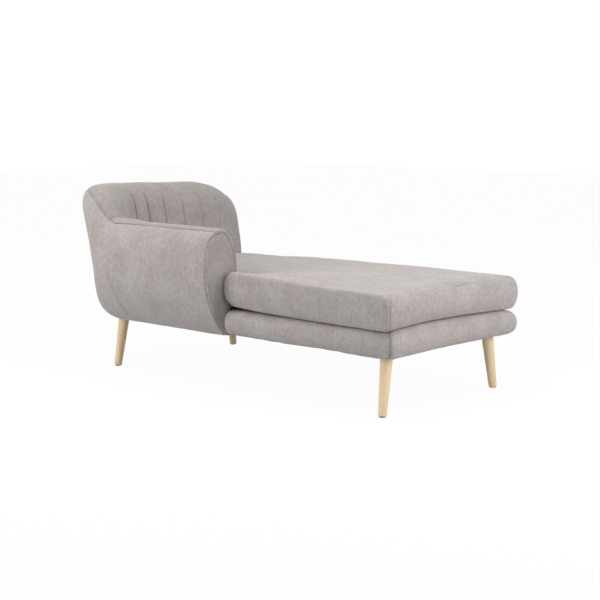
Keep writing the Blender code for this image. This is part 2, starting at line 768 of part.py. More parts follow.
def make_cushion(cloth, foam, lining):
    angles = (-84.0, -58.0, -30.0, 0.0, 30.0, 58.0, 84.0)
    crown = (0.12, 0.35, 0.65, 1.0)
    bm = bmesh.new()
    outer = skin_rings(bm, cushion_rings(0.0, CUSHION_HEM, angles, crown), False, True)
    inner_angles = (-80.0, -40.0, 0.0, 40.0, 80.0)
    inner_crown = (0.12, 0.46, 1.0)
    inner = skin_rings(bm, cushion_rings(COVER, CUSHION_HEM, inner_angles, inner_crown), False, True)
    count = len(outer[0])
    for j in range(count):
        k = (j + 1) % count
        bm.faces.new((outer[0][j], outer[0][k], inner[0][k], inner[0][j]))
    finish("seat_cushion_cover", bm, cloth)
    rings = cushion_rings(COVER + 2.0 * GAP, 0.0, inner_angles, inner_crown)
    lofted("seat_cushion_foam", rings, foam)
    inward = CUSHION_HEM + 2.0 * GAP
    rings = [cushion_ring(SEAT_BULGE, FITTED_ROUND, inward, SEAT_Z + z) for z in (0.0, COVER)]
    lofted("seat_cushion_bottom", rings, lining, smooth=False)


def facing_rings(u, ts, tail, steps):
    """Rings of a padded end panel: the shell's outline, closed along the seat frame by the tail."""
    out = foot_line(u)[1]
    ahead = Vector((-out.y, out.x, 0.0)) if u < ARM_RUN else Vector((out.y, -out.x, 0.0))
    rings = []
    for forward, inward in steps:
        flat = [inset(u, t, inward) for t in ts]
        flat[0] = (flat[0][0], max(flat[0][1], SHELL_Z + inward))
        flat[-1] = (flat[-1][0], max(flat[-1][1], SEAT_Z + inward))
        flat += [(d + inward, z + inward) for d, z in tail]
        rings.append([in_shell(u, d, z) + ahead * forward for d, z in flat])
    return rings


def make_facings(cloth):
    ts = spread(0.0, 0.8, 6) + spread(0.9, 2.0, 15) + [2.5, 3.0]
    steps = ((GAP, FACING_LIP), (FACING - FACING_EDGE, FACING_LIP), (FACING, FACING_IN))
    beside = GAP - SIDE_SET
    tail = ((beside, SEAT_Z), (beside, SHELL_Z))
    lofted("arm_facing", facing_rings(0.0, ts, tail, steps), cloth)
    tail = ((-BACK_INSIDE, SHELL_Z),)
    lofted("back_end_facing", facing_rings(RUN, ts, tail, steps), cloth)


def leg_top(sx, sy):
    """Middle of a leg's upper end, under its plate."""
    x = RAIL_FOOT_X - LEG_FOOT_IN if sx > 0.0 else RAIL_BACK_X + LEG_BACK_IN
    return Vector((x, sy * (RAIL_HALF - LEG_SIDE_IN), PLATE_Z - GAP))


def make_legs(wood, rubber, steel):
    for sx, end in ENDS:
        for sy, side in SIDES:
            place = f"{side}_{end}"
            top = leg_top(sx, sy)
            tip = Vector((top.x + sx * LEG_SPLAY_X, top.y + sy * LEG_SPLAY_Y, GLIDE_T + GAP))
            low = tip.lerp(top, 2.0 * LEG_TIP_ROUND / top.z)
            rings = [
                circle(tip.x, tip.y, tip.z, LEG_TIP_R - LEG_TIP_ROUND),
                circle(low.x, low.y, low.z, LEG_TIP_R),
                circle(top.x, top.y, top.z, LEG_TOP_R),
                circle(top.x, top.y, top.z, BOLT_R + GAP),
                circle(top.x, top.y, top.z - BOLT_DEPTH, BOLT_R + GAP),
            ]
            lofted(f"leg_{place}", rings, wood)
            pad = LEG_TIP_R - GLIDE_IN
            rings = [
                circle(tip.x, tip.y, 0.0, pad - GLIDE_ROUND),
                circle(tip.x, tip.y, GLIDE_ROUND, pad),
                circle(tip.x, tip.y, GLIDE_T, pad),
            ]
            lofted(f"glide_{place}", rings, rubber)
            barrel = RAIL_Z + BARREL_RISE
            rings = [
                circle(top.x, top.y, PLATE_Z, PLATE_R),
                circle(top.x, top.y, PLATE_Z + PLATE_T, PLATE_R),
                circle(top.x, top.y, PLATE_Z + PLATE_T, BARREL_R),
                circle(top.x, top.y, barrel, BARREL_R),
                circle(top.x, top.y, barrel, BOLT_R + GAP),
                circle(top.x, top.y, PLATE_Z, BOLT_R + GAP),
            ]
            lofted(f"leg_plate_{place}", rings, steel, loop=True)
            rings = [
                circle(top.x, top.y, top.z - BOLT_DEPTH + GAP, BOLT_R),
                circle(top.x, top.y, barrel, BOLT_R),
            ]
            lofted(f"leg_bolt_{place}", rings, steel)


def set_origin():
    """Move the whole chair so that its origin is on the floor under its middle."""
    bpy.context.view_layer.update()
    parts = [ob for ob in bpy.data.objects if not ob.hide_render]
    corners = [ob.matrix_world @ Vector(c) for ob in parts for c in ob.bound_box]
    low_x = min(c.x for c in corners)
    high_x = max(c.x for c in corners)
    low_y = min(c.y for c in corners)
    high_y = max(c.y for c in corners)
    root = bpy.data.objects.new("chaise", None)
    bpy.context.collection.objects.link(root)
    for ob in list(bpy.data.objects):
        if ob is not root:
            ob.parent = root
    root.location = (-0.5 * (low_x + high_x), -0.5 * (low_y + high_y), 0.0)


def main():
    clear_scene()
    cloth = make_material("velour", (0.36, 0.32, 0.30), 0.85)
    quilt = make_material("quilted velour", (0.38, 0.34, 0.32), 0.85)
    foam = make_material("foam", (0.80, 0.76, 0.60), 0.95)
    felt = make_material("deck felt", (0.18, 0.17, 0.17), 0.95)
    lining = make_material("fibreboard", (0.42, 0.30, 0.18), 0.9)
    webbing = make_material("webbing", (0.12, 0.12, 0.13), 0.8)
    dust = make_material("dust cloth", (0.03, 0.03, 0.03), 0.95)
    timber = make_material("pine", (0.62, 0.45, 0.26), 0.7)
    ply = make_material("plywood", (0.55, 0.38, 0.22), 0.7)
    beech = make_material("beech", (0.72, 0.52, 0.32), 0.45)
    steel = make_material("zinc steel", (0.55, 0.55, 0.56), 0.35, 1.0)
    rubber = make_material("glide plastic", (0.55, 0.53, 0.50), 0.6)
    make_legs(beech, rubber, steel)
    make_frame(timber)
    make_ribs(timber, ply)
    make_springs(steel)
    make_base(cloth, foam, felt, dust)
    make_cushion(cloth, foam, dust)
    make_shell(cloth, quilt, foam, lining, webbing)
    make_facings(cloth)
    set_origin()


main()
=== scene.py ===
"""Looks of a one-armed chaise longue: velour covers, loose seat cushion, padded base, beech legs."""

import math

import bmesh
import bpy
import numpy as np
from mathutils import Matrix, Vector
from mathutils.kdtree import KDTree


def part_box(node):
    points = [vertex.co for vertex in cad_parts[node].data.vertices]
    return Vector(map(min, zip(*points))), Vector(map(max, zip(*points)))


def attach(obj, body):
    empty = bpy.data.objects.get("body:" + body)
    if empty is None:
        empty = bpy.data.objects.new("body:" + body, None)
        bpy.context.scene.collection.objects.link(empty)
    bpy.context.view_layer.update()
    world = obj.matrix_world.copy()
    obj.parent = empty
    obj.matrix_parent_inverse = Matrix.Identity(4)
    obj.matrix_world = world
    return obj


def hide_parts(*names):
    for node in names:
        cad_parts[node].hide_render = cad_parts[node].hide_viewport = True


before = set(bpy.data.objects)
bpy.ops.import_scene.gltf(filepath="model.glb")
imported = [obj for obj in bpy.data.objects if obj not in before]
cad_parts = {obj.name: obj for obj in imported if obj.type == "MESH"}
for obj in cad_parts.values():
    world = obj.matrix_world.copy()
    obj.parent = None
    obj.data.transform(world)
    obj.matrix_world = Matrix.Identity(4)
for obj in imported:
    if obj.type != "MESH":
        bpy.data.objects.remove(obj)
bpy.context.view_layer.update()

# Where things stand, from the frame. The shapes below are drawn round a point on the floor midway
# between the four feet: +X is the foot end, -Y the side with the arm.
CORNERS = [side + "_" + end for side in ("near", "far") for end in ("back", "foot")]
GLIDE_MIDDLES = {name: 0.5 * sum(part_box("glide_" + name), Vector()) for name in CORNERS}
ORIGIN = np.array([*np.mean([middle.xy for middle in GLIDE_MIDDLES.values()], axis=0), 0.0])
DECK_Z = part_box("deck_pad")[1].z
SEAT_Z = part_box("seat_cushion_bottom")[0].z
SHELL_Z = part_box("arm_outside_cover")[0].z
RAIL_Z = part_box("rail_near")[0].z

# Seat in plan, metres. Here and below, a pair holds where a smooth change starts and how long it is.
SEAT_HALF = 0.389
FOOT_X = 0.786
EDGE_PAD = 0.047
RAIL_HALF = SEAT_HALF - EDGE_PAD
RAIL_FOOT_X = FOOT_X - EDGE_PAD
SLIP = 0.0010
GAP = 0.0003

# Shell: the arm, the corner and the back as one outline swept along the foot line
ARM_FRONT_X = -0.060
SHELL_BACK_X = -0.790
SHELL_SIDE_Y = -0.355
BACK_FAR_Y = 0.373
SHELL_CORNER_R = 0.144
ARM_HEIGHT = 0.622
BACK_HEIGHT = 0.754
RISE_BEFORE = 0.025
RISE_AFTER = 0.120
CORNER_SHARE = 0.80
ARM_FLARE = 0.107
ARM_FLARE_RISE = 0.250
BACK_FLARE = 0.0610
BACK_FLARE_RISE = 0.050
ARM_FLARE_POWER = 2.2
BACK_FLARE_POWER = 2.9
BACK_FLARE_ROUND = 1.9
ARM_INSIDE = 0.058
BACK_INSIDE = 0.094
OUTER_LEAN = 0.2635
BACK_WAIST_Z = SHELL_Z + 0.1405
INNER_LEAN = 0.200
LEAN_SOFT = 0.030
WAIST_Z = SHELL_Z + ARM_FLARE_RISE
WAIST_BELOW = 0.010
ARM_CAP = 0.150
BACK_CAP = 0.105
CAP_POWER = 2.3
ARM_INNER_POWER = 1.88
BACK_SLOPE = 0.010
FAR_ROUND = 0.220
FAR_DROP = 0.075
FAR_POWER = 2.25
FAR_CUT = 0.97
CORNER_X = SHELL_BACK_X + SHELL_CORNER_R
CORNER_Y = SHELL_SIDE_Y + SHELL_CORNER_R
ARM_RUN = ARM_FRONT_X - CORNER_X
CORNER_RUN = 0.5 * math.pi * SHELL_CORNER_R
BACK_RUN = BACK_FAR_Y - CORNER_Y
RUN = ARM_RUN + CORNER_RUN + BACK_RUN
SPLIT = ARM_RUN - RISE_BEFORE
INNER_SPLIT = SPLIT + 0.030

# Seams of the shell's covers, and the join between arm and back, with the painted shade along their lines
COVER = 0.0025
SEAM_ARM = 1.0 + 68.0 / 180.0
SEAM_BACK = 1.0 + 52.0 / 180.0
SEAM_SHIFT = (-0.05, 0.17)
SEAM_DIP = 0.0032
SIDE_SEAM_DIP = 0.0021
SEAM_WIDTH = 0.0042
SEAM_SHADE = 0.0023
CORNER_SEAM_FADE = 0.45
CORNER_SEAM_SPAN = 0.03
BACK_SEAM_FADE = 0.75
BACK_SEAM = (0.07, 0.06)
EDGE_DARK = 0.9
EDGE_DIP = 0.0040
EDGE_WIDTH = 0.0060
JOIN_DARK = 0.5
SPLIT_DIP = 0.0022
SPLIT_WIDTH = 0.0060
SPLIT_DARK = 0.22
SPLIT_FAINT = 0.08
SPLIT_LOW = (0.22, 0.05)
SPLIT_HIGH = (0.40, 0.09)
SPLIT_SLANT = 0.028
SLANT_TOP = 0.85
SLANT_REACH = 0.16
CREASE_BESIDE = 0.010
CREASE_DIP = 0.0022
CREASE_WIDTH = 0.0030
CREASE_DARK = 0.5
CREASE_SHADE = 0.0018
CREASE_SPAN = 0.04
CREASE_END = (0.13, 0.07)

# Sewn channels of the back, with the painted shade along them, and the arm's inner roll
CHANNELS = 6
CHANNEL_PITCH = 0.106
CHANNEL_MIDDLE = ARM_RUN + CORNER_RUN + 0.025 - CORNER_Y
CHANNEL_DIP = 0.0070
CHANNEL_WIDTH = 0.0028
CHANNEL_SHADE = 0.0015
CHANNEL_SWELL = 0.0022
CHANNEL_STEP = 1.69
CHANNEL_LOWER = 0.22
CHANNEL_FADE = 0.24
CHANNEL_SHIFTS = np.array([0.035, 0.0, -0.012, -0.012, -0.012, -0.012])
CHANNEL_DEPTHS = np.array([1.0, 1.0, 0.75, 0.58, 0.52, 0.32])
ROLL_SWELL = 0.0110
ROLL_FROM = (-0.20, 0.14)
ROLL_TO = (-0.030, 0.030)
ROLL_OUTER = (1.42, 0.20)
ROLL_INNER = (1.85, 0.5)

# Slight unevenness of the stretched covers: rows of height, length and seed, and the sines added up
OUTSIDE_WAVES = ((0.0011, 0.30, 11), (0.0004, 0.085, 12))
ARM_WAVES = ((0.0010, 0.24, 21), (0.0005, 0.07, 22))
BACK_WAVES = ((0.0011, 0.20, 31), (0.0005, 0.06, 32))
CUSHION_WAVES = ((0.0014, 0.32, 41), (0.0007, 0.10, 42))
BASE_WAVES = ((0.0012, 0.26, 51), (0.0006, 0.08, 52))
WANDER_SINES = 7
WANDER_SPREAD = (0.7, 1.4)
WANDER_LEVEL = 3.6

# Facings on the shell's two cut ends, and the covers that roll over these ends
FACING = 0.0145
FAR_FACING = 0.0210
FACING_DEEP = 0.0070
FACING_SWELL = 0.0030
EDGE_ROLL = 0.0110
EDGE_FLAT = 0.0060
ROLL_OVER = (1.15, 0.30)
SIDE_SET = 0.013
END_SNUG = 0.0011
TAIL_DROP = 0.005
BASE_TOUCH = 0.0120
TOUCH_LOW = (-0.020, 0.075)
TOUCH_OUT = (0.020, 0.045)
# Painted shade low on the arm's facing, in the nook by the cushion and the base
NOOK_SHADE = 0.80
NOOK_LOW = (-0.06, 0.17)
NOOK_IN = (-0.060, 0.050)

# Seat cushion: its form
CUSHION_HEIGHT = 0.137
CUSHION_FALL = 0.011
FALL_START = 0.15
FAR_FALL = 0.0045
FAR_FALL_Y = (0.05, 0.30)
REAR_FALL = 0.008
REAR_FALL_X = -0.14
REAR_FALL_SPAN = 0.25
CROWN_REACH = 0.26
CROWN_PAST_ARM = (-0.05, 0.30)
COVER_CROWN = 0.0095
SEAT_BULGE = 0.034
FITTED_ROUND = 0.012
FITTED_POWER = 0.35
NOSE_ANGLE = math.radians(84.0)
NOSE_POWER = 2.3
NEAR_NOSE_POWER = 6.5
SQUARE_IN = (0.01, 0.11)
SQUARE_FOOT = (-0.035, 0.030)
SQUARE_ARM = (0.02, 0.06)
SQUARE_ANGLE = 0.3
SPINE_BACK_IN = 0.33
SPINE_FOOT_IN = 0.36
SPINE_ASIDE = 0.036
SPINE_PAST_ARM = (-0.15, 0.35)
EAR_FAN = 0.110
EAR_BULGE = 1.15
EAR_LIFT = 0.021
EAR_LIFT_LOW = 0.007
EAR_START = 0.02
EAR_REACH = 0.52
EAR_REACH_LOW = 0.20
EAR_IN = (0.012, 0.10)
EDGE_LIFT = 0.0085
EDGE_LIFT_ALONG = (0.02, 0.62)
EDGE_LIFT_IN = (0.012, 0.075)
EDGE_LIFT_HIGH = 0.60
CORNER_ROUND = 0.0080
CORNER_PUSH = 0.0105
CORNER_BACK = 0.013
CORNER_BACK_REACH = 0.085
CORNER_BLEND = 0.12
CUSHION_RADII = (CORNER_ROUND, CORNER_ROUND, 0.016, 0.068, 0.012, 0.014)
FOOT_ARCH = 0.014
FOOT_ARCH_REACH = 0.090
FOOT_ARCH_FULL = 0.8
FOOT_ARCH_POWER = 0.7

# Seat cushion: filling, mitred corners and wrinkles
FILL_START = 0.0024
FILL_PRESSURE = 0.15
FILL_CAP = 0.010
FILL_VOXEL = 0.011
FILL_FRAMES = 20
FILL_RISE = 0.03
FILL_NEIGHBOURS = 6
FILL_BLEND = 0.3
EDGE_HOLD = 0.75
EDGE_HOLD_IN = 0.022
EDGE_HOLD_HIGH = 0.88
MITRE_DIP = 0.0028
MITRE_WIDTH = 0.0048
MITRE_ASIDE = 0.009
MITRE_REACH = 0.075
MITRE_POWER = 4
MITRE_TOP = 0.62
MITRE_FADE = 0.34
MITRE_FAINT = 0.15
# Painted shade along the mitred corners and in the wrinkles
MITRE_DARK = 0.55
RELIEF_ABOVE = (0.006, 0.02)
UNDERSIDE_RISE = 0.0006
UNDERSIDE_FACING = -0.98
WRINKLE_SHADE = 95.0
WRINKLE_WIDTH = 0.0052
WRINKLE_ENDS = (0.02, 0.98)
WRINKLE_POWER = 0.5
WRINKLES = (
    ((0.772, -0.020, 0.438), (0.768, 0.075, 0.441), 0.0040),
    ((0.764, 0.045, 0.443), (0.770, 0.135, 0.439), 0.0036),
    ((0.757, -0.050, 0.446), (0.752, 0.030, 0.447), 0.0020),
)
PUCKER_DEPTH = 0.0008
PUCKER_ALONG = (0.05, 0.22)
PUCKER_IN = (0.010, 0.03)
PUCKER_HIGH = 0.80
PUCKER_SPREAD = 0.022
PUCKER_LENGTH = 0.0036
PUCKER_DRIFT = 0.031
PUCKER_STRAY = 3.0

# Padded base, deck pad and dust cloth
BASE_BULGE = 0.044
BASE_DROP = 0.0030
BASE_CORNER_ROUND = 0.020
BASE_BACK_ROUND = 0.001
BASE_END_ROUND = 0.013
BASE_END_DEPTH = 0.78
BASE_END_HIGH = 0.92
BASE_ARCH_LOW = 0.25
# Painted shade along the base's mitred corners
BASE_MITRE_DARK = 0.7
DECK_WAVES = 9
DECK_WAVE = 0.0010
DECK_UNEVEN = 0.0006
DECK_UNEVEN_LENGTH = 0.12
DECK_SEED = 61
DECK_EDGE_DIP = 0.0012
DECK_EDGE_WIDTH = 0.003
DUST_SAG = 0.0022
DUST_SAG_SPAN = 0.25
DUST_WAVE = 0.0005
DUST_WAVE_LENGTH = 0.13
DUST_SEED = 71
DUST_WAVE_SPAN = 0.05
DUST_RADII = (SHELL_CORNER_R, 0.006, 0.006, 0.010)

# Legs and glides
LEG_TOP_R = 0.0230
LEG_TIP_R = 0.0155
LEG_TIP_ROUND = 0.0025
LEG_ROUND_END = 0.006
GLIDE_R = LEG_TIP_R - 0.003
GLIDE_ROUND = 0.0010
LEG_TOP_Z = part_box("leg_near_foot")[1].z
LEG_TIP_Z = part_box("leg_near_foot")[0].z
LEG_SPLAY = np.array([0.009, 0.032])

# Thread and staples
STITCH_LENGTH = 0.0042
STITCH_PITCH = 0.0056
STITCH_THICK = 0.0008
STITCH_LAST_STEP = 2.96
STAPLE_PITCH = 0.055
STAPLE_LENGTH = 0.011
STAPLE_THICK = 0.0011
STAPLE_IN = 0.007
STAPLE_BELOW = 0.0003

# Grids of the modelled pieces: steps, counts and shares, and what is welded and shaded sharp
STEP = 0.0070
FINE_STEP = 0.0013
FINE_REACH = 0.0140
CUSHION_STEP = 0.0065
BASE_STEP = 0.008
DECK_STEP = 0.012
DUST_STEP = 0.014
SECTION_STEP = 0.006
SECTION_SAMPLES = 1500
SEWN_ROWS = np.array([0.0, 0.0006, 0.0013, 0.0022, 0.0034, 0.0050, 0.0075])
SEWN_CLEAR = 0.0090
ROLL_ROWS = 12
FLAT_ROWS = 5
PANEL_SAMPLES = 400
PANEL_STEP = 0.0045
PANEL_CARRIED = 0.01
PANEL_MIDDLE_LOW = 0.05
PANEL_MIDDLE_HIGH = 0.075
PANEL_BEHIND = (1.0, 0.6, 0.3, 0.0)
PANEL_RUNS = np.concatenate([np.arange(0.0, 0.012, 0.0014), np.linspace(0.0135, 0.0245, 8)])
PANEL_RINGS = 12
CORNER_STEPS = 11
NOSE_STEPS = 45
BASE_ROWS = 41
LEG_STEPS = 40
LEG_ROUND_STEPS = 6
LEG_AROUND = 64
GLIDE_ROUND_STEPS = 5
GLIDE_AROUND = 40
STITCH_SAMPLES = 120
UNDER_SHARES = (1.0, 0.8, 0.6, 0.4, 0.28, 0.18, 0.12, 0.08, 0.05, 0.025, 0.010)
TOP_SHARES = np.concatenate([[0.008, 0.018, 0.03], np.linspace(0.05, 1.0, 36)])
WELD_REACH = 1e-6
SLIVER = 1e-7
COVER_SHARP = math.radians(60.0)
TURNED_SHARP = math.radians(50.0)

# Colours of the cloth, the dark colour towards which painted shade is mixed, and the distance after which a
# wave texture of scale 1 repeats
VELOUR_PALE = (0.540, 0.501, 0.482)
VELOUR_DEEP = (0.372, 0.331, 0.320)
PAINTED_SHADE_COLOUR = (0.105, 0.093, 0.090)
WAVE_REPEAT = 0.314

# Studio: light from all round, floor, and lamps with their place, aim, size and power
AMBIENT = 0.50
FLOOR_BOUNCE = 0.62
FLOOR_WHITE = 0.96
FLOOR_SIDE = 14.0
LAMPS = (
    ("overhead_softbox", (0.3, -0.3, 2.8), (0.1, 0.0, 0.3), (3.0, 2.2), 35.0),
    ("arm_side_panel", (-1.7, -2.9, 1.5), (-0.2, -0.3, 0.4), (1.6, 1.4), 41.5),
    ("foot_side_panel", (2.5, 0.2, 1.1), (0.8, 0.0, 0.30), (1.2, 1.2), 18.5),
)

# Camera of the photograph (600 by 600 pixels), in the drawing's frame
PHOTO_SIDE = 600
PHOTO_FOCAL = 1370.0
CAMERA_PLACE = np.array([3.6440, -4.0349, 1.1067])
CAMERA_PITCH = 0.1454
CAMERA_YAW = 2.3039


class Value:
    """An output socket that takes arithmetic: each operation adds one Math node."""

    def __init__(self, nodes, socket):
        self.nodes = nodes
        self.socket = socket

    def maths(self, operation, first, second):
        return self.nodes.add("ShaderNodeMath", {"operation": operation}, {0: first, 1: second})

    def __add__(self, other):
        return self.maths("ADD", self, other)

    def __radd__(self, other):
        return self.maths("ADD", other, self)

    def __sub__(self, other):
        return self.maths("SUBTRACT", self, other)

    def __rsub__(self, other):
        return self.maths("SUBTRACT", other, self)

    def __mul__(self, other):
        return self.maths("MULTIPLY", self, other)

    def __rmul__(self, other):
        return self.maths("MULTIPLY", other, self)

    def __pow__(self, other):
        return self.maths("POWER", self, other)


class Nodes:
    """A node tree with one short way to add a node."""

    def __init__(self, tree):
        self.tree = tree

    def add(self, kind, settings=None, inputs=None, output=0):
        """Adds a node: its settings first, then the values or links of its sockets."""
        node = self.tree.nodes.new(kind)
        for name, value in (settings or {}).items():
            if name == "stops":
                self.set_stops(node.color_ramp, value)
            else:
                setattr(node, name, value)
        for name, value in (inputs or {}).items():
            self.feed(node.inputs[name], value)
        return Value(self, node.outputs[output])

    def feed(self, socket, value):
        if isinstance(value, Value):
            self.tree.links.new(value.socket, socket)
        else:
            socket.default_value = value

    @staticmethod
    def set_stops(ramp, stops):
        while len(ramp.elements) < len(stops):
            ramp.elements.new(1.0)
        for element, (place, colour) in zip(ramp.elements, stops):
            element.position = place
            element.color = (*colour, 1.0)


class Finish(Nodes):
    """A material round one Principled shader, with the patterns that the finishes share."""

    def __init__(self, name, constants):
        self.material = bpy.data.materials.new(name)
        self.material.use_nodes = True
        super().__init__(self.material.node_tree)
        self.shader = self.tree.nodes["Principled BSDF"]
        for socket, value in constants.items():
            self.shader.inputs[socket].default_value = value
        self.place = self.add("ShaderNodeTexCoord", output="Object")

    def stretched(self, scale):
        return self.add("ShaderNodeMapping", None, {"Vector": self.place, "Scale": scale})

    def noise(self, scale, detail=3.0, roughness=0.55, where=None):
        inputs = {"Vector": where or self.place, "Scale": scale, "Detail": detail, "Roughness": roughness}
        return self.add("ShaderNodeTexNoise", None, inputs)

    def ramp(self, value, *stops):
        return self.add("ShaderNodeValToRGB", {"stops": stops}, {"Fac": value})

    def mixed(self, share, first, second):
        return self.add("ShaderNodeMix", {"data_type": "RGBA"}, {0: share, 6: first, 7: second}, output=2)

    def colour(self, value):
        self.feed(self.shader.inputs["Base Color"], value)

    def roughness(self, value):
        self.feed(self.shader.inputs["Roughness"], value)

    def bump(self, height, distance, strength=1.0):
        inputs = {"Height": height, "Distance": distance, "Strength": strength}
        normal = self.add("ShaderNodeBump", None, inputs)
        self.feed(self.shader.inputs["Normal"], normal)


def velour(name, pale, deep, painted_shade_colour):
    """Short-pile cloth: nap that lies in soft patches, upright streaks, pile grain, painted shade at seams.
    """
    finish = Finish(name, {
        "Roughness": 0.92,
        "Sheen Weight": 0.30,
        "Sheen Roughness": 0.45,
        "Sheen Tint": (0.96, 0.93, 0.91, 1.0),
        "Specular IOR Level": 0.15,
    })
    patches = finish.noise(11.0, 3.0, 0.6)
    nap = finish.noise(60.0, 4.0, 0.65)
    streaks = finish.noise(1.0, 3.0, 0.6, finish.stretched((190.0, 190.0, 36.0)))
    mottle = finish.noise(135.0, 3.0, 0.6)
    specks = finish.noise(330.0, 2.0, 0.6)
    pile = finish.noise(1300.0, 2.0, 0.6)
    uneven = (patches - 0.5) * 0.90 + (nap - 0.5) * 0.80 + (mottle - 0.5) * 0.90 + (streaks - 0.5) * 0.85
    tone = 0.5 + uneven + (specks - 0.5) * 1.1 + (pile - 0.5) * 0.7
    cloth = finish.ramp(tone, (0.12, deep), (0.88, pale))
    # Painted shade: the points' shade attribute darkens the cloth along seams, joins, creases, channels and
    # wrinkles and in the arm's nook
    seam = finish.add("ShaderNodeAttribute", {"attribute_name": "seam"}, output="Fac")
    finish.colour(finish.mixed(seam * 0.60, cloth, (*painted_shade_colour, 1.0)))
    finish.roughness(0.84 + nap * 0.14)
    finish.bump(pile * 0.5 + specks * 0.6 + streaks * 0.3 + nap * 0.8, 0.0011, 0.55)
    return finish.material


def woven_backing(name, pale, deep, pitch):
    """Thin cloth with a plain weave on the plan's two directions."""
    finish = Finish(name, {"Roughness": 0.85, "Specular IOR Level": 0.2})
    bands = {"Vector": finish.place, "Scale": WAVE_REPEAT / pitch}
    warp = finish.add("ShaderNodeTexWave", {"bands_direction": "X"}, bands)
    weft = finish.add("ShaderNodeTexWave", {"bands_direction": "Y"}, bands)
    fibres = finish.noise(320.0, 3.0)
    weave = warp * 0.4 + weft * 0.4 + fibres * 0.5
    finish.colour(finish.ramp(weave, (0.2, deep), (0.95, pale)))
    finish.bump(weave, 0.0004, 0.6)
    return finish.material


def felt(name, pale, deep):
    """Needled pad: matted fibres in two sizes."""
    finish = Finish(name, {"Roughness": 0.96, "Specular IOR Level": 0.1, "Sheen Weight": 0.15})
    clumps = finish.noise(70.0, 5.0, 0.65)
    fibres = finish.noise(650.0, 3.0, 0.7)
    matted = clumps * 0.6 + fibres * 0.4
    finish.colour(finish.ramp(matted, (0.3, deep), (0.7, pale)))
    finish.bump(matted, 0.0012, 0.7)
    return finish.material


def timber(name, pale, deep, along, ring_scale, roughness, coat=0.0):
    """Wood with rings and fibres drawn out along one direction of the object."""
    finish = Finish(name, {"Roughness": roughness, "Coat Weight": coat, "Coat Roughness": 0.35})

    def drawn_out(share):
        """Coordinates in which a pattern runs on along the grain."""
        return finish.stretched([share if axis == along else 1.0 for axis in "xyz"])

    grain = finish.noise(ring_scale, 3.0, 0.5, drawn_out(0.055))
    fibres = finish.noise(620.0, 3.0, 0.6, drawn_out(0.03))
    flecks = finish.noise(260.0, 1.0, 0.5, drawn_out(0.12))
    tone = 0.5 + (grain - 0.5) * 1.4 + (fibres - 0.5) * 0.7 - (flecks ** 6.0) * 2.2
    finish.colour(finish.ramp(tone, (0.18, deep), (0.82, pale)))
    finish.roughness(roughness - 0.06 + fibres * 0.12)
    finish.bump(fibres * 0.6 + grain * 0.4, 0.0003, 0.35)
    return finish.material


def pressed_board(name, pale, deep, chip):
    """Fibreboard or the face of plywood: pressed chips and a matt skin."""
    finish = Finish(name, {"Roughness": 0.75, "Specular IOR Level": 0.3})
    chips = finish.add("ShaderNodeTexVoronoi", None, {"Vector": finish.place, "Scale": 1.0 / chip})
    cloud = finish.noise(25.0, 4.0)
    tone = chips * 0.5 + cloud * 0.6
    finish.colour(finish.ramp(tone, (0.2, deep), (0.9, pale)))
    finish.bump(tone, 0.0003, 0.4)
    return finish.material


def plated_steel(name):
    """Zinc plating with a faint spangle and fine scratches."""
    finish = Finish(name, {"Metallic": 1.0, "Roughness": 0.35})
    spangle = finish.add("ShaderNodeTexVoronoi", None, {"Vector": finish.place, "Scale": 320.0})
    scratches = finish.noise(900.0, 2.0, 0.6, finish.stretched((1.0, 0.05, 1.0)))
    finish.colour(finish.ramp(spangle, (0.0, (0.50, 0.51, 0.53)), (1.0, (0.66, 0.67, 0.69))))
    finish.roughness(0.26 + spangle * 0.12 + scratches * 0.12)
    finish.bump(scratches, 0.0001, 0.3)
    return finish.material


def moulded_plastic(name, pale, deep):
    """Moulded glide: satin skin with a fine spark texture and scuffs."""
    finish = Finish(name, {"Roughness": 0.45})
    spark = finish.noise(1400.0, 2.0)
    scuffs = finish.noise(160.0, 4.0, 0.7)
    finish.colour(finish.ramp(scuffs, (0.3, deep), (0.75, pale)))
    finish.roughness(0.40 + scuffs * 0.2)
    finish.bump(spark, 0.0002, 0.3)
    return finish.material


def toned(tone):
    """Pale and deep shades of the cloth, scaled by a tone; a lower tone makes a darker copy that paints shade
    onto a panel.
    """
    return [tuple(tone * channel for channel in shade) for shade in (VELOUR_PALE, VELOUR_DEEP)]


VELOUR = velour("taupe_velour", *toned(0.95), PAINTED_SHADE_COLOUR)
# Darker copies of the cloth: painted shade on the inside of arm and back and on the facings
SHADED_INSIDE_VELOUR = velour("channelled_velour", *toned(0.83), PAINTED_SHADE_COLOUR)
SHADED_FACING_VELOUR = velour("facing_velour", *toned(0.86), PAINTED_SHADE_COLOUR)
LINING = woven_backing("cushion_lining", (0.060, 0.058, 0.060), (0.022, 0.021, 0.022), 0.0016)
DUST_CLOTH = woven_backing("dust_cloth", (0.045, 0.045, 0.047), (0.014, 0.014, 0.015), 0.0022)
WEBBING = woven_backing("back_webbing", (0.36, 0.33, 0.27), (0.20, 0.18, 0.14), 0.0020)
DECK_FELT = felt("deck_felt", (0.36, 0.35, 0.34), (0.17, 0.165, 0.16))
BEECH = timber("beech_legs", (0.965, 0.765, 0.490), (0.830, 0.610, 0.350), "z", 55.0, 0.42, 0.15)
PINE_LONG = timber("pine_rails_long", (0.78, 0.60, 0.36), (0.56, 0.37, 0.18), "x", 38.0, 0.62)
PINE_CROSS = timber("pine_rails_cross", (0.78, 0.60, 0.36), (0.56, 0.37, 0.18), "y", 38.0, 0.62)
PLYWOOD = pressed_board("plywood_ribs", (0.72, 0.57, 0.38), (0.50, 0.36, 0.21), 0.004)
FIBREBOARD = pressed_board("fibreboard", (0.34, 0.25, 0.16), (0.20, 0.14, 0.085), 0.0012)
STEEL = plated_steel("zinc_steel")
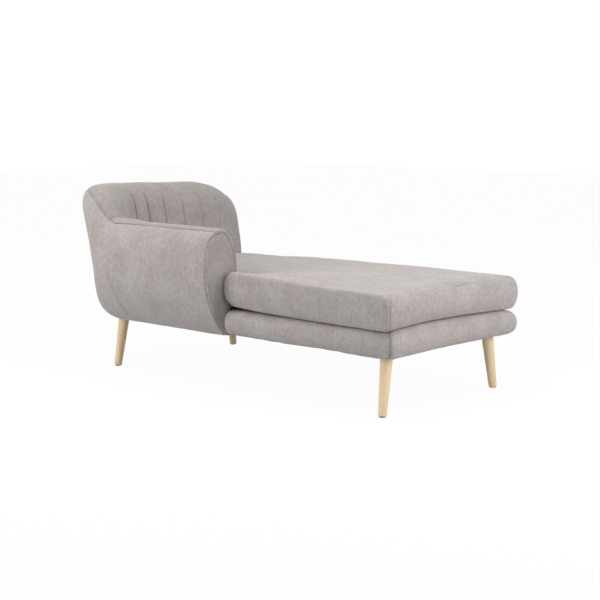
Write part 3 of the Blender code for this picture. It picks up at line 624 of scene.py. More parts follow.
GLIDE_PLASTIC = moulded_plastic("glide_plastic", (0.62, 0.57, 0.50), (0.46, 0.42, 0.36))
THREAD = felt("sewing_thread", (0.30, 0.27, 0.255), (0.16, 0.14, 0.13))


def ease(x):
    """A smooth step from 0 to 1."""
    x = np.clip(x, 0.0, 1.0)
    return x * x * (3.0 - 2.0 * x)


def rise(value, start, span):
    """A smooth step from 0 to 1 that begins at a start and takes a span."""
    return ease((value - start) / span)


def dip(distance, depth, width):
    """Depth of a sewn line at a distance from it."""
    return depth * np.exp(-((distance / width) ** 2))


def wander(points, size, seed):
    """Smooth, repeatable unevenness of about -1 to 1 over lengths of the given size."""
    dice = np.random.default_rng(seed)
    total = np.zeros(points.shape[:-1])
    for _ in range(WANDER_SINES):
        direction = dice.normal(size=3)
        direction *= dice.uniform(*WANDER_SPREAD) * math.tau / (size * np.linalg.norm(direction))
        total += np.sin(points @ direction + dice.uniform(0.0, math.tau))
    return total / WANDER_LEVEL


def waves(points, rows):
    """Unevenness of a cover, from rows of height, length and seed."""
    return sum(height * wander(points, length, seed) for height, length, seed in rows)


def graded(length, step=STEP):
    """Places from 0 to 1 along a length, close together near its two ends."""
    fine = np.arange(0.0, FINE_REACH, FINE_STEP)
    count = max(int((length - 2.0 * fine[-1]) / step), 2)
    middle = np.linspace(fine[-1], length - fine[-1], count + 1)
    return np.concatenate([fine[:-1], middle, length - fine[-2::-1]]) / length


def run_along(points):
    """Distance of each point along a line from its start."""
    return np.concatenate([[0.0], np.cumsum(np.linalg.norm(np.diff(points, axis=0), axis=1))])


def at_height(plan, z):
    """Points of a plan, raised to one height."""
    return np.concatenate([plan, np.full((len(plan), 1), z)], 1)


def drawn_box(node):
    """Low and high corner of a node of the frame, in the drawing's frame."""
    return [np.array(corner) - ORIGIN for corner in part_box(node)]


def plan_grid(low, high, step):
    """Grid over the plan of a flat piece, and how far each point lies from its edge."""
    x, y = (low[k] + graded(high[k] - low[k], step) * (high[k] - low[k]) for k in range(2))
    gx, gy = np.meshgrid(x, y, indexing="ij")
    rim = np.minimum(np.minimum(gx - low[0], high[0] - gx), np.minimum(gy - low[1], high[1] - gy))
    return gx, gy, rim


def grid_quads(numbers):
    """Quads of a grid of point numbers."""
    corners = [numbers[:-1, :-1], numbers[1:, :-1], numbers[1:, 1:], numbers[:-1, 1:]]
    return np.stack(corners, -1).reshape(-1, 4)


def outward(points, faces):
    """The faces, turned over if they enclose a negative volume."""
    a, b, c, d = (points[faces[:, k]] for k in range(4))
    volume = np.einsum("ij,ij->", a, np.cross(b, c)) + np.einsum("ij,ij->", a, np.cross(c, d))
    return faces if volume > 0.0 else faces[:, ::-1]


def closed_sheet(face, back):
    """Points and quads of a closed sheet between two grids of the same shape."""
    rows, columns = face.shape[:2]
    front = np.arange(rows * columns).reshape(rows, columns)
    rear = front + rows * columns
    rim = np.concatenate([front[0, :-1], front[:-1, -1], front[-1, :0:-1], front[:0:-1, 0]])
    after = np.roll(rim, -1)
    wall = np.stack([rim, after, after + rows * columns, rim + rows * columns], -1)
    quads = np.concatenate([grid_quads(front), grid_quads(rear)[:, ::-1], wall])
    points = np.concatenate([face.reshape(-1, 3), back.reshape(-1, 3)])
    return points, outward(points, quads)


def lofted(rings):
    """Points and quads of a closed form lofted through closed rings, first and last ring shut."""
    count, around = rings.shape[:2]
    numbers = np.arange(count * around).reshape(count, around)
    numbers = np.concatenate([numbers, numbers[:, :1]], 1)
    points = rings.reshape(-1, 3)
    return points, outward(points, grid_quads(numbers))


def make_piece(name, points, faces, materials, replaced=(), body="chaise", seam=None):
    """A finished piece: its mesh, smooth shading, material, body and the nodes it stands for."""
    mesh = bpy.data.meshes.new(name)
    mesh.from_pydata((points + ORIGIN).tolist(), [], faces.tolist())
    for material in materials:
        mesh.materials.append(material)
    # The painted shade goes onto the points as an attribute that the cloth's colour reads
    if seam is not None:
        values = np.zeros(len(points), np.float32)
        values[: seam.size] = seam.reshape(-1)
        mesh.attributes.new("seam", "FLOAT", "POINT").data.foreach_set("value", values)
    weld(mesh)
    mesh.shade_smooth()
    mesh.set_sharp_from_angle(angle=COVER_SHARP)
    piece = bpy.data.objects.new(name, mesh)
    bpy.context.scene.collection.objects.link(piece)
    settle(piece, replaced, body)
    return piece


def weld(mesh):
    """Merges the doubled points of poles and closed ends."""
    edit = bmesh.new()
    edit.from_mesh(mesh)
    bmesh.ops.remove_doubles(edit, verts=edit.verts, dist=WELD_REACH)
    bmesh.ops.dissolve_degenerate(edit, edges=edit.edges, dist=SLIVER)
    edit.to_mesh(mesh)
    edit.free()


def settle(piece, replaced=(), body="chaise"):
    """Gives a piece its body and hides the nodes it stands for."""
    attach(piece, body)
    if replaced:
        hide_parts(*replaced)


# The shell's outline follows the part's rule, on arrays. u runs along the foot line from the arm's front
# to the back's far end. t runs over the section: 0 to 1 outer face, 1 to 2 top, 2 to 3 inner face.
def foot_line(u):
    """Points of the foot line and their outward directions."""
    a = np.clip((u - ARM_RUN) / SHELL_CORNER_R, 0.0, 0.5 * math.pi)
    out = np.stack([-np.sin(a), -np.cos(a)], -1)
    x = CORNER_X + out[..., 0] * SHELL_CORNER_R + np.maximum(ARM_RUN - u, 0.0)
    y = CORNER_Y + out[..., 1] * SHELL_CORNER_R + np.maximum(u - ARM_RUN - CORNER_RUN, 0.0)
    return np.stack([x, y], -1), out


def backness(u):
    """0 on the arm, 1 on the back, changing round the corner."""
    return rise(u, ARM_RUN, CORNER_SHARE * CORNER_RUN)


def top_height(u):
    """Height of the shell: the arm rises into the back, which slopes and rounds off to its far end."""
    climb = rise(u - ARM_RUN, -RISE_BEFORE, RISE_BEFORE + RISE_AFTER)
    far = np.clip((u - RUN + FAR_ROUND) / FAR_ROUND, 0.0, 1.0)
    drop = 1.0 - (1.0 - FAR_CUT * far ** FAR_POWER) ** (1.0 / FAR_POWER)
    slope = BACK_SLOPE * rise(u - ARM_RUN, CORNER_RUN, BACK_RUN - FAR_ROUND)
    return ARM_HEIGHT + (BACK_HEIGHT - ARM_HEIGHT) * climb - slope - FAR_DROP * drop


def leaning(z, waist):
    """Height above a waist, with a soft start."""
    above = z - waist
    return 0.5 * (above + np.sqrt(above * above + LEAN_SOFT * LEAN_SOFT))


def turned(u, on_arm, on_back):
    """A size that changes from its value on the arm to its value on the back."""
    return on_arm + (on_back - on_arm) * backness(u)


def outer_face(u, z):
    """Outward distance of the outer face at a height."""
    h = np.clip((z - SHELL_Z) / turned(u, ARM_FLARE_RISE, BACK_FLARE_RISE), 0.0, 1.0)
    power = turned(u, ARM_FLARE_POWER, BACK_FLARE_POWER)
    bend = turned(u, 1.0, BACK_FLARE_ROUND)
    flare = turned(u, ARM_FLARE, BACK_FLARE) * (1.0 - (1.0 - h) ** power) ** (1.0 / bend)
    return flare + backness(u) * OUTER_LEAN * leaning(z, BACK_WAIST_Z)


def inner_face(u, z):
    """Outward distance of the inner face at a height."""
    return backness(u) * INNER_LEAN * leaning(z, WAIST_Z) - turned(u, ARM_INSIDE, BACK_INSIDE)


def section(u, t):
    """Outward distance and height of the shell's outline."""
    cap = turned(u, ARM_CAP, BACK_CAP)
    spring = top_height(u) - cap
    outer_z = SHELL_Z + (spring - SHELL_Z) * np.clip(t, 0.0, 1.0)
    waist = np.minimum(WAIST_Z, spring - WAIST_BELOW)
    inner_z = spring + (waist - spring) * np.clip(t - 2.0, 0.0, 0.5) * 2.0
    inner_z = inner_z + (SEAT_Z - waist) * np.clip(t - 2.5, 0.0, 0.5) * 2.0
    angle = math.pi * np.clip(t - 1.0, 0.0, 1.0)
    power = np.where(t > 1.5, turned(u, ARM_INNER_POWER, CAP_POWER), CAP_POWER)
    reach = np.sign(np.cos(angle)) * np.abs(np.cos(angle)) ** (2.0 / power)
    cap_z = spring + cap * np.clip(np.sin(angle), 0.0, 1.0) ** (2.0 / power)
    outside = outer_face(u, spring)
    inside = inner_face(u, spring)
    lean = backness(u) * 0.5 * (OUTER_LEAN + INNER_LEAN) * (cap_z - spring)
    cap_d = 0.5 * (outside + inside) + 0.5 * (outside - inside) * reach + lean
    d = np.where(t <= 1.0, outer_face(u, outer_z), np.where(t >= 2.0, inner_face(u, inner_z), cap_d))
    z = np.where(t <= 1.0, outer_z, np.where(t >= 2.0, inner_z, cap_z))
    return d, z


def on_shell(u, t, depth=0.0):
    """Points of the shell at a depth square to its outline."""
    d0, z0 = section(u, np.maximum(t - SECTION_STEP, 0.0))
    d1, z1 = section(u, np.minimum(t + SECTION_STEP, 3.0))
    length = np.hypot(d1 - d0, z1 - z0)
    d, z = section(u, t)
    d = d - depth * (z1 - z0) / length
    z = z + depth * (d1 - d0) / length
    point, out = foot_line(u)
    return np.concatenate([point + out * d[..., None], z[..., None]], -1)


def seam_step(u):
    """Where along the section the outside cover meets the inside cover."""
    return SEAM_ARM + (SEAM_BACK - SEAM_ARM) * rise(u - ARM_RUN, *SEAM_SHIFT)


def even_shares(u, first, last):
    """Shares of a stretch of the section that lie evenly along it, close together at its ends."""
    t = np.linspace(first, last, SECTION_SAMPLES)
    run = run_along(np.stack(section(np.full_like(t, u), t), -1))
    places = graded(run[-1]) * run[-1]
    return (np.interp(places, run, t) - first) / (last - first)


def rolls_over(t):
    """1 where a cover rolls over the shell's cut end, on top and inside, and 0 outside, where it stops."""
    return rise(t, *ROLL_OVER)


def split_slant(u, t):
    """The join of arm and back runs forward towards the floor."""
    return SPLIT_SLANT * (1.0 - ease(t / SLANT_TOP)) * (1.0 - ease(np.abs(u - SPLIT) / SLANT_REACH))


def rows_beside(runs, lines):
    """Rows of a cover, with those near each sewn line replaced by closer ones."""
    beside = np.concatenate([-SEWN_ROWS[:0:-1], SEWN_ROWS])
    for line in lines:
        runs = np.concatenate([runs[np.abs(runs - line) > SEWN_CLEAR], line + beside])
    return np.sort(runs)


def sewn_cover(u_first, u_last, lower, upper, relief, lines):
    """Grids of a cover's face and back, with its relief, and the shade of its seams.

    The cover of the arm starts and that of the back ends with rows that roll over the shell's cut end."""
    arm = u_first == 0.0
    thick = FACING if arm else FAR_FACING
    runs = rows_beside(u_first + graded(u_last - u_first) * (u_last - u_first), lines)
    runs = runs[::-1] if arm else runs
    end = runs[-1]
    middle = np.array(0.5 * (u_first + u_last))
    shares = even_shares(float(middle), float(lower(middle)), float(upper(middle)))
    quarter = 0.5 * math.pi
    angle = np.concatenate([np.linspace(0.0, quarter, ROLL_ROWS + 1)[1:], np.full(FLAT_ROWS, quarter)])
    turn = np.concatenate([np.zeros(len(runs)), angle])[:, None]
    flat_run = np.linspace(0.0, EDGE_FLAT, FLAT_ROWS + 1)[1:]
    past = np.concatenate([np.zeros(len(runs) + ROLL_ROWS), flat_run])[:, None]
    u = np.repeat(np.concatenate([runs, np.full(len(angle), end)])[:, None], len(shares), 1)
    t = lower(u) + (upper(u) - lower(u)) * shares
    over = rolls_over(t)
    before = np.where(np.abs(u - end) > 0.0, thick - EDGE_ROLL, 0.0)
    edge = np.abs(u - end) + over * (EDGE_ROLL * (quarter - turn) + EDGE_FLAT - past + before)
    tuck = dip(edge, SEAM_DIP, SEAM_WIDTH)
    side_tuck = dip(edge, SIDE_SEAM_DIP, SEAM_WIDTH)
    sunk = over * (EDGE_ROLL * (1.0 - np.cos(turn)) + past) + (1.0 - over) * side_tuck
    ahead_of_end = thick - EDGE_ROLL + EDGE_ROLL * np.sin(turn) - tuck * np.sin(turn)
    forward = np.where(turn > 0.0, over * ahead_of_end, 0.0)
    flat = on_shell(u, t)
    lengths = np.linalg.norm(np.diff(flat, axis=1), axis=-1)
    from_lower = np.concatenate([np.zeros((len(u), 1)), np.cumsum(lengths, 1)], 1)
    from_seam = from_lower if lower is seam_step else from_lower[:, -1:] - from_lower
    depth, seam = relief(u, t, from_seam, flat)
    seam = np.maximum(seam, dip(edge, EDGE_DARK, SEAM_SHADE))
    placed = u + (-forward if arm else forward) - split_slant(u, t)
    return on_shell(placed, t, depth + sunk), on_shell(placed, t, depth + sunk + COVER), seam


def at(value):
    """The same step of the section all along the shell."""
    return lambda u: np.full_like(u, value)


def split_crease(u, z):
    """Soft crease where the cloth of the arm is joined to that of the back, strongest at mid height."""
    strength = rise(z, *SPLIT_LOW) * (1.0 - rise(z, *SPLIT_HIGH))
    return dip(u - SPLIT, 1.0, SPLIT_WIDTH) * (SPLIT_FAINT + (1.0 - SPLIT_FAINT) * strength)


def seam_strength(u):
    """How dark the top seam shows: full along the arm, softer round the corner, faint behind the back."""
    corner = CORNER_SEAM_FADE * ease((u - SPLIT) / CORNER_SEAM_SPAN)
    return (1.0 - corner) * (1.0 - BACK_SEAM_FADE * rise(u - ARM_RUN, *BACK_SEAM))


def outside_relief(u, t, from_seam, flat):
    """Relief and shade of the outside covers: top seam, crease between arm and back, slight waves."""
    crease = split_crease(u, flat[..., 2])
    depth = dip(from_seam, SEAM_DIP, SEAM_WIDTH) + SPLIT_DIP * crease + waves(flat, OUTSIDE_WAVES)
    seam = np.maximum(dip(from_seam, 1.0, SEAM_SHADE) * seam_strength(u), SPLIT_DARK * crease)
    return depth, seam


def roll_swell(u, t):
    """Fullness of the arm's inner roll, gathered towards the corner."""
    along = rise(u - ARM_RUN, *ROLL_FROM) * (1.0 - rise(u - INNER_SPLIT, *ROLL_TO))
    return ROLL_SWELL * along * rise(t, *ROLL_OUTER) * (1.0 - rise(t, *ROLL_INNER))


def arm_inside_relief(u, t, from_seam, flat):
    """Relief and shade of the arm's inside cover: top seam, join with the back, full roll, slight waves."""
    join = INNER_SPLIT - u
    depth = dip(from_seam, SEAM_DIP, SEAM_WIDTH) + dip(join, EDGE_DIP, EDGE_WIDTH) - roll_swell(u, t)
    seam = np.maximum(dip(from_seam, 1.0, SEAM_SHADE), dip(join, JOIN_DARK, SEAM_SHADE))
    return depth + waves(flat, ARM_WAVES), seam


def channel_runs():
    """Places of the sewn channels along the foot line."""
    return CHANNEL_MIDDLE + CHANNEL_PITCH * (np.arange(CHANNELS) - 0.5 * (CHANNELS - 1)) + CHANNEL_SHIFTS


def channel_strength(u, t):
    """How deep a channel is sewn: none near the top, where the channels towards the far end start lower."""
    along = (u - CHANNEL_MIDDLE) / (CHANNEL_PITCH * CHANNELS)
    start = CHANNEL_STEP + CHANNEL_LOWER * ease(0.5 + along)
    return rise(t, start, CHANNEL_FADE) * np.interp(u, channel_runs(), CHANNEL_DEPTHS)


def back_inside_relief(u, t, from_seam, flat):
    """Relief and shade of the back's inside panel: seams, channels, a crease at the corner, slight waves."""
    runs = channel_runs()
    near = np.abs(u[..., None] - runs).min(-1)
    strength = channel_strength(u, t)
    channels = CHANNEL_DIP * np.exp(-near / CHANNEL_WIDTH) * strength
    between = (u > runs[0]) & (u < runs[-1])
    full = np.sin(math.pi * np.clip(near / CHANNEL_PITCH, 0.0, 0.5))
    swell = np.where(between, CHANNEL_SWELL * full, 0.0) * strength
    corner = ease((u - INNER_SPLIT) / CREASE_SPAN) * (1.0 - rise(u - ARM_RUN, *CREASE_END))
    beside = from_seam - CREASE_BESIDE
    join = u - INNER_SPLIT
    depth = dip(from_seam, SEAM_DIP, SEAM_WIDTH) + dip(join, EDGE_DIP, EDGE_WIDTH)
    depth = depth + dip(beside, CREASE_DIP, CREASE_WIDTH) * corner + channels - swell
    seam = np.maximum(dip(from_seam, 1.0, SEAM_SHADE) * seam_strength(u), dip(join, JOIN_DARK, SEAM_SHADE))
    seam = np.maximum(seam, np.exp(-near / CHANNEL_SHADE) * strength)
    seam = np.maximum(seam, CREASE_DARK * dip(beside, 1.0, CREASE_SHADE) * corner)
    return depth + waves(flat, BACK_WAVES), seam


def make_shell_covers():
    """Outside and inside covers of the arm and the back, sewn together along the top and at the join."""
    covers = (
        ("arm_outside", 0.0, SPLIT, outside_relief, VELOUR, ["arm_outside_cover"]),
        ("back_outside", SPLIT, RUN, outside_relief, VELOUR, ["back_outside_cover"]),
        ("arm_inside", 0.0, INNER_SPLIT, arm_inside_relief, SHADED_INSIDE_VELOUR, ["arm_inside_cover", "arm_foam"]),
        ("back_inside", INNER_SPLIT, RUN, back_inside_relief, SHADED_INSIDE_VELOUR, ["back_inside_panel", "back_foam"]),
    )
    for name, first, last, relief, material, nodes in covers:
        inside = material is SHADED_INSIDE_VELOUR
        lower, upper = (seam_step, at(3.0)) if inside else (at(0.0), seam_step)
        lines = channel_runs() if name == "back_inside" else []
        face, back, seam = sewn_cover(first, last, lower, upper, relief, lines)
        points, quads = closed_sheet(face, back)
        make_piece(name, points, quads, [material], nodes, seam=seam)


def even_loop(points, step):
    """A closed outline taken again at even steps."""
    closed = np.concatenate([points, points[:1]])
    run = run_along(closed)
    places = np.linspace(0.0, run[-1], int(run[-1] / step) + 1)[:-1]
    return np.stack([np.interp(places, run, closed[:, k]) for k in range(points.shape[1])], -1)


def shell_end_panel(u, tail, forward, thick, fuller):
    """Rings of a padded panel over a cut end of the shell, from behind round the seam to its middle.

    Outside, the panel wraps the edge and is sewn at the shell's side; on top and inside it is set in."""
    t = np.linspace(0.0, 3.0, PANEL_SAMPLES)
    d, z = section(np.full_like(t, u), t)
    over = np.concatenate([rolls_over(t), np.zeros(len(tail))])[:, None]
    # The share that rolls over goes along as a third column, made small so that it adds hardly any length
    outline = np.concatenate([np.concatenate([np.stack([d, z], -1), tail]), PANEL_CARRIED * over], 1)
    outline = even_loop(outline, PANEL_STEP)
    over = outline[:, 2:] / PANEL_CARRIED
    outline = outline[:, :2]
    tangent = np.roll(outline, -1, 0) - np.roll(outline, 1, 0)
    normal = np.stack([tangent[:, 1], -tangent[:, 0]], -1)
    normal /= np.linalg.norm(normal, axis=1)[:, None]
    middle_z = np.clip(outline[:, 1], SHELL_Z + PANEL_MIDDLE_LOW, z.max() - PANEL_MIDDLE_HIGH)
    inner_side = np.where(middle_z < SEAT_Z, tail[0, 0], inner_face(u, middle_z))
    middle = np.stack([0.5 * (outer_face(u, middle_z) + inner_side), middle_z], -1)

    def behind_seam(share):
        """Ring behind the panel, from its middle out to the seam."""
        edge = outline - normal * (over * (EDGE_ROLL + EDGE_FLAT) + SIDE_SEAM_DIP * (1.0 - over))
        return edge + (middle - edge) * share, over[:, 0] * (thick - FACING_DEEP)

    def past_seam(run):
        """Ring at a distance from the seam, over the rounded edge and on towards the middle."""
        angle = min(run / thick, 0.5 * math.pi)
        wrapped = thick * (1.0 - math.cos(angle)) + max(run - 0.5 * math.pi * thick, 0.0)
        sunk = dip(run, SEAM_DIP, SEAM_WIDTH)
        side_sunk = dip(run, SIDE_SEAM_DIP, SEAM_WIDTH)
        inset = (1.0 - over) * (wrapped + side_sunk * math.cos(angle)) + over * (EDGE_ROLL + EDGE_FLAT + run)
        width = np.linalg.norm(middle - outline, axis=1)[:, None]
        swell = FACING_SWELL * (1.0 - (1.0 - np.minimum(inset / width, 1.0)) ** 2)
        ahead = (1.0 - over) * thick * math.sin(angle) + over * (thick - sunk) + swell
        return outline - normal * inset, ahead[:, 0]

    rings = [behind_seam(share) for share in PANEL_BEHIND]
    seam = [np.full(len(outline), float(share == 0.0)) for share in PANEL_BEHIND]
    for run in PANEL_RUNS:
        rings.append(past_seam(run))
        seam.append(np.full(len(outline), dip(run, 1.0, SEAM_SHADE)))
    last, ahead = rings[-1]
    for share in np.linspace(0.0, 1.0, PANEL_RINGS + 1)[1:]:
        rings.append((last + (middle - last) * share, ahead + (thick + FACING_SWELL - ahead) * ease(share)))
        seam.append(np.zeros(len(outline)))
    point, out = foot_line(np.array(u))
    placed = []
    for ring, ahead in rings:
        xy = point + out * ring[:, :1] + forward * (ahead * fuller(ring))[:, None]
        placed.append(np.concatenate([xy, ring[:, 1:]], 1))
    return np.array(placed), np.array(seam)


def shaded_low(points):
    """Painted shade in the nook between the arm's facing, the cushion and the base, strongest low down."""
    low = 1.0 - rise(points[..., 2] - SEAT_Z, *NOOK_LOW)
    return NOOK_SHADE * low * rise(points[..., 1] + SEAT_HALF, *NOOK_IN)


def full_at_base(ring):
    """How much the arm's facing is thickened: it is fuller low down, where the base meets it."""
    low = 1.0 - rise(ring[:, 1] - DECK_Z, *TOUCH_LOW)
    return 1.0 + BASE_TOUCH / FACING * low * (1.0 - rise(ring[:, 0], *TOUCH_OUT))


def make_facings():
    """Padded panels set into the front of the arm and the far end of the back."""
    panels = (
        ("arm_front", 0.0, SIDE_SET, SEAT_Z, (1.0, 0.0), FACING, full_at_base, "arm_facing"),
        ("back_end", RUN, BACK_INSIDE - END_SNUG, SEAT_Z - TAIL_DROP, (0.0, 1.0), FAR_FACING,
         lambda ring: 1.0, "back_end_facing"),
    )
    for name, u, beside, tail_z, forward, thick, fuller, node in panels:
        tail = np.array([[GAP - beside, tail_z], [GAP - beside, SHELL_Z]])
        rings, seam = shell_end_panel(u, tail, np.array(forward), thick, fuller)
        points, quads = lofted(rings)
        if name == "arm_front":
            seam = np.maximum(seam, shaded_low(rings))
        make_piece(name, points, quads, [SHADED_FACING_VELOUR], [node], seam=seam)


def rounded_line(corners, radii, spans, closed):
    """A line through corners that are rounded to radii, with straight runs divided as spans give."""
    corners = np.asarray(corners, float)
    count = len(corners)
    turns = []
    for k, here in enumerate(corners):
        if not closed and k in (0, count - 1):
            turns.append((here, here, here[None]))
            continue
        before, after = corners[k - 1], corners[(k + 1) % count]
        a = (before - here) / np.linalg.norm(before - here)
        b = (after - here) / np.linalg.norm(after - here)
        half = 0.5 * math.acos(float(a @ b))
        centre = here + (a + b) / np.linalg.norm(a + b) * radii[k] / math.sin(half)
        start = here + a * radii[k] / math.tan(half)
        end = here + b * radii[k] / math.tan(half)
        sweep = math.pi - 2.0 * half
        shares = np.linspace(0.0, 1.0, CORNER_STEPS)[:, None]
        arc = np.sin((1.0 - shares) * sweep) * (start - centre) + np.sin(shares * sweep) * (end - centre)
        turns.append((start, end, centre + arc / math.sin(sweep)))
    points = []
    for k in range(count if closed else count - 1):
        start, end = turns[k][1], turns[(k + 1) % count][0]
        points += [turns[k][2][:-1], start + (end - start) * spans[k][:-1, None]]
    if not closed:
        points.append(corners[-1:])
    return np.concatenate(points)


def bullnose(angle, power):
    """Shares of the bulge and of the half height at an angle round a rounded edge."""
    bulge = abs(math.cos(angle)) ** (2.0 / power)
    height = math.copysign(abs(math.sin(angle)) ** (2.0 / power), angle)
    return bulge, height


def cushion_corners(side, snug):
    """Plan corners of the cushion at one level: its free edges set in by side, its fitted ones by snug."""
    x_foot = FOOT_X - side
    y_side = SEAT_HALF - side
    x_back = SHELL_BACK_X + BACK_INSIDE + SLIP + snug
    y_arm = SHELL_SIDE_Y + ARM_INSIDE + SLIP + snug
    x_ear = ARM_FRONT_X + FACING + FACING_SWELL + SLIP + EAR_BULGE * side
    return np.array([(x_foot, -y_side), (x_foot, y_side), (x_back, y_side),
                     (x_back, y_arm), (x_ear, y_arm), (x_ear, -y_side)])


def level_of_cushion(x, y, z):
    """Heights drop a little towards the back and the far side, the more the higher they lie."""
    x_back = SHELL_BACK_X + BACK_INSIDE
    share = (z - SEAT_Z) / CUSHION_HEIGHT
    fall = CUSHION_FALL * ease((FOOT_X - x) / (FOOT_X - x_back) - FALL_START)
    fall = fall + FAR_FALL * rise(y, *FAR_FALL_Y)
    return z - share * (fall + REAR_FALL * ease((REAR_FALL_X - x) / REAR_FALL_SPAN))


def cushion_spine(rim):
    """Where rows over the cushion's top and underside end: on its middle line, fanned out by the arm."""
    low = SHELL_BACK_X + BACK_INSIDE + SPINE_BACK_IN
    high = FOOT_X - SPINE_FOOT_IN
    y_arm = SHELL_SIDE_Y + ARM_INSIDE
    outside_arm = np.clip((y_arm - rim[:, 1]) / (y_arm + SEAT_HALF), 0.0, 1.0)
    to_foot = np.clip((rim[:, 0] - ARM_FRONT_X) / (high - ARM_FRONT_X), 0.0, 1.0)
    x = np.clip(rim[:, 0] + EAR_FAN * outside_arm * (1.0 - to_foot), low, high)
    return np.stack([x, SPINE_ASIDE * (1.0 - rise(x - ARM_FRONT_X, *SPINE_PAST_ARM))], -1)


def squared_edge(rim):
    """How much of the edge is the near side's, whose top is squarer: from past the arm to before the foot."""
    near = 1.0 - rise(rim[:, 1:] + SEAT_HALF, *SQUARE_IN)
    before_foot = 1.0 - rise(rim[:, :1] - FOOT_X, *SQUARE_FOOT)
    return near * before_foot * rise(rim[:, :1] - ARM_FRONT_X, *SQUARE_ARM)


def cushion_rings():
    """Rings of the cushion from the middle of its underside round the nose to the middle of its top."""
    corners = cushion_corners(0.0, 0.0)
    lengths = np.linalg.norm(np.roll(corners, -1, 0) - corners, axis=1)
    spans = [graded(length, CUSHION_STEP) for length in lengths]
    half = 0.5 * CUSHION_HEIGHT
    rim = rounded_line(corners, CUSHION_RADII, spans, True)
    spine = cushion_spine(rim)
    squared = squared_edge(rim)

    def nose(angle, power):
        """Ring at an angle round the nose."""
        bulge, height = bullnose(angle, power)
        plan = cushion_corners(SEAT_BULGE * (1.0 - bulge), FITTED_ROUND * (1.0 - bulge ** FITTED_POWER))
        return at_height(rounded_line(plan, CUSHION_RADII, spans, True), SEAT_Z + half + half * height)

    def towards_spine(edge, share, z):
        """Ring a share of the way from an edge to the spine."""
        return at_height(edge + (spine - edge) * share, z)

    angles = np.linspace(-NOSE_ANGLE, NOSE_ANGLE, NOSE_STEPS)
    low_rim = nose(angles[0], NOSE_POWER)[:, :2]
    rings = [towards_spine(low_rim, share, SEAT_Z) for share in UNDER_SHARES]
    for angle in angles:
        squarer = squared * ease(angle / SQUARE_ANGLE)
        rings.append((1.0 - squarer) * nose(angle, NOSE_POWER) + squarer * nose(angle, NEAR_NOSE_POWER))
    top_rim = rings[-1][:, :2]
    rings += [towards_spine(top_rim, share, SEAT_Z + CUSHION_HEIGHT) for share in TOP_SHARES]
    rings = np.array(rings)
    by_foot = np.exp(-(((FOOT_X - rings[..., 0]) / CORNER_BLEND) ** 2))
    rings[..., 0] -= CORNER_BACK * by_foot * np.exp(-(rings[..., 1] + SEAT_HALF) / CORNER_BACK_REACH)
    rings[..., 1] *= 1.0 + CORNER_PUSH / SEAT_HALF * by_foot
    return rings


def normals_of_rings(rings):
    """Unit normals of a lofted form, from the directions along and across its rings."""
    along = np.roll(rings, -1, 1) - np.roll(rings, 1, 1)
    across = np.gradient(rings, axis=0)
    normal = np.cross(along, across)
    length = np.linalg.norm(normal, axis=-1, keepdims=True)
    return normal / np.maximum(length, 1e-12)


def crown(x, y):
    """Height of the cushion's crown, from nothing at the edges to full in the middle."""
    x_back = SHELL_BACK_X + BACK_INSIDE
    y_arm = SHELL_SIDE_Y + ARM_INSIDE
    y_arm = y_arm - (y_arm + SEAT_HALF) * rise(x - ARM_FRONT_X, *CROWN_PAST_ARM)
    in_x = np.clip(np.minimum(FOOT_X - SEAT_BULGE - x, x - x_back) / CROWN_REACH, 0.0, 1.0)
    in_y = np.clip(np.minimum(SEAT_HALF - SEAT_BULGE - y, y - y_arm) / CROWN_REACH, 0.0, 1.0)
    return COVER_CROWN * (1.0 - (1.0 - in_x) ** 2) * (1.0 - (1.0 - in_y) ** 2)


def foot_arch(x, y):
    """Rise of the line between cushion and base at the foot, highest in the half towards the near corner."""
    along = np.clip((y + SEAT_HALF) / (2.0 * SEAT_HALF), 0.0, 1.0) ** FOOT_ARCH_POWER
    by_foot = rise(x - FOOT_X, -FOOT_ARCH_REACH, FOOT_ARCH_FULL * FOOT_ARCH_REACH)
    return FOOT_ARCH * np.sin(math.pi * along) * by_foot


def edge_lift(x, y, z):
    """How far the cushion's lower edge stands off the base: towards the arm, and over the foot's arch."""
    along = 1.0 - rise(x - ARM_FRONT_X, *EDGE_LIFT_ALONG)
    at_edge = 1.0 - rise(y + SEAT_HALF, *EDGE_LIFT_IN)
    low = 1.0 - ease((z - SEAT_Z) / (EDGE_LIFT_HIGH * CUSHION_HEIGHT))
    return EDGE_LIFT * along * at_edge * low + foot_arch(x, y) * low


def ear_lift(x, y, z):
    """The near edge rides up where it meets the arm's front, its top over a longer stretch than its foot."""
    share = (z - SEAT_Z) / CUSHION_HEIGHT
    along = 1.0 - rise(x - ARM_FRONT_X, EAR_START, EAR_REACH_LOW + (EAR_REACH - EAR_REACH_LOW) * share)
    at_edge = 1.0 - rise(y + SEAT_HALF, *EAR_IN)
    return (EAR_LIFT_LOW + (EAR_LIFT - EAR_LIFT_LOW) * share) * along * at_edge


def wrinkles(points):
    """Depth of the short wrinkles in the cushion's cover along the foot's top edge."""
    total = np.zeros(points.shape[:-1])
    for start, end, depth in WRINKLES:
        start, end = np.array(start), np.array(end)
        along = np.clip((points - start) @ (end - start) / ((end - start) @ (end - start)), 0.0, 1.0)
        near = np.linalg.norm(points - start - along[..., None] * (end - start), axis=-1)
        full = np.sin(math.pi * np.clip(along, *WRINKLE_ENDS)) ** WRINKLE_POWER
        total += dip(near, depth, WRINKLE_WIDTH) * full
    return total


def puckers(x, y, z):
    """Small gathers below the top edge of the near side, close to the arm."""
    along = (1.0 - rise(x - ARM_FRONT_X, *PUCKER_ALONG)) * (1.0 - rise(y + SEAT_HALF, *PUCKER_IN))
    height = np.exp(-(((z - SEAT_Z - PUCKER_HIGH * CUSHION_HEIGHT) / PUCKER_SPREAD) ** 2))
    gathers = np.sin(x / PUCKER_LENGTH + PUCKER_STRAY * np.sin(x / PUCKER_DRIFT))
    return PUCKER_DEPTH * along * height * gathers


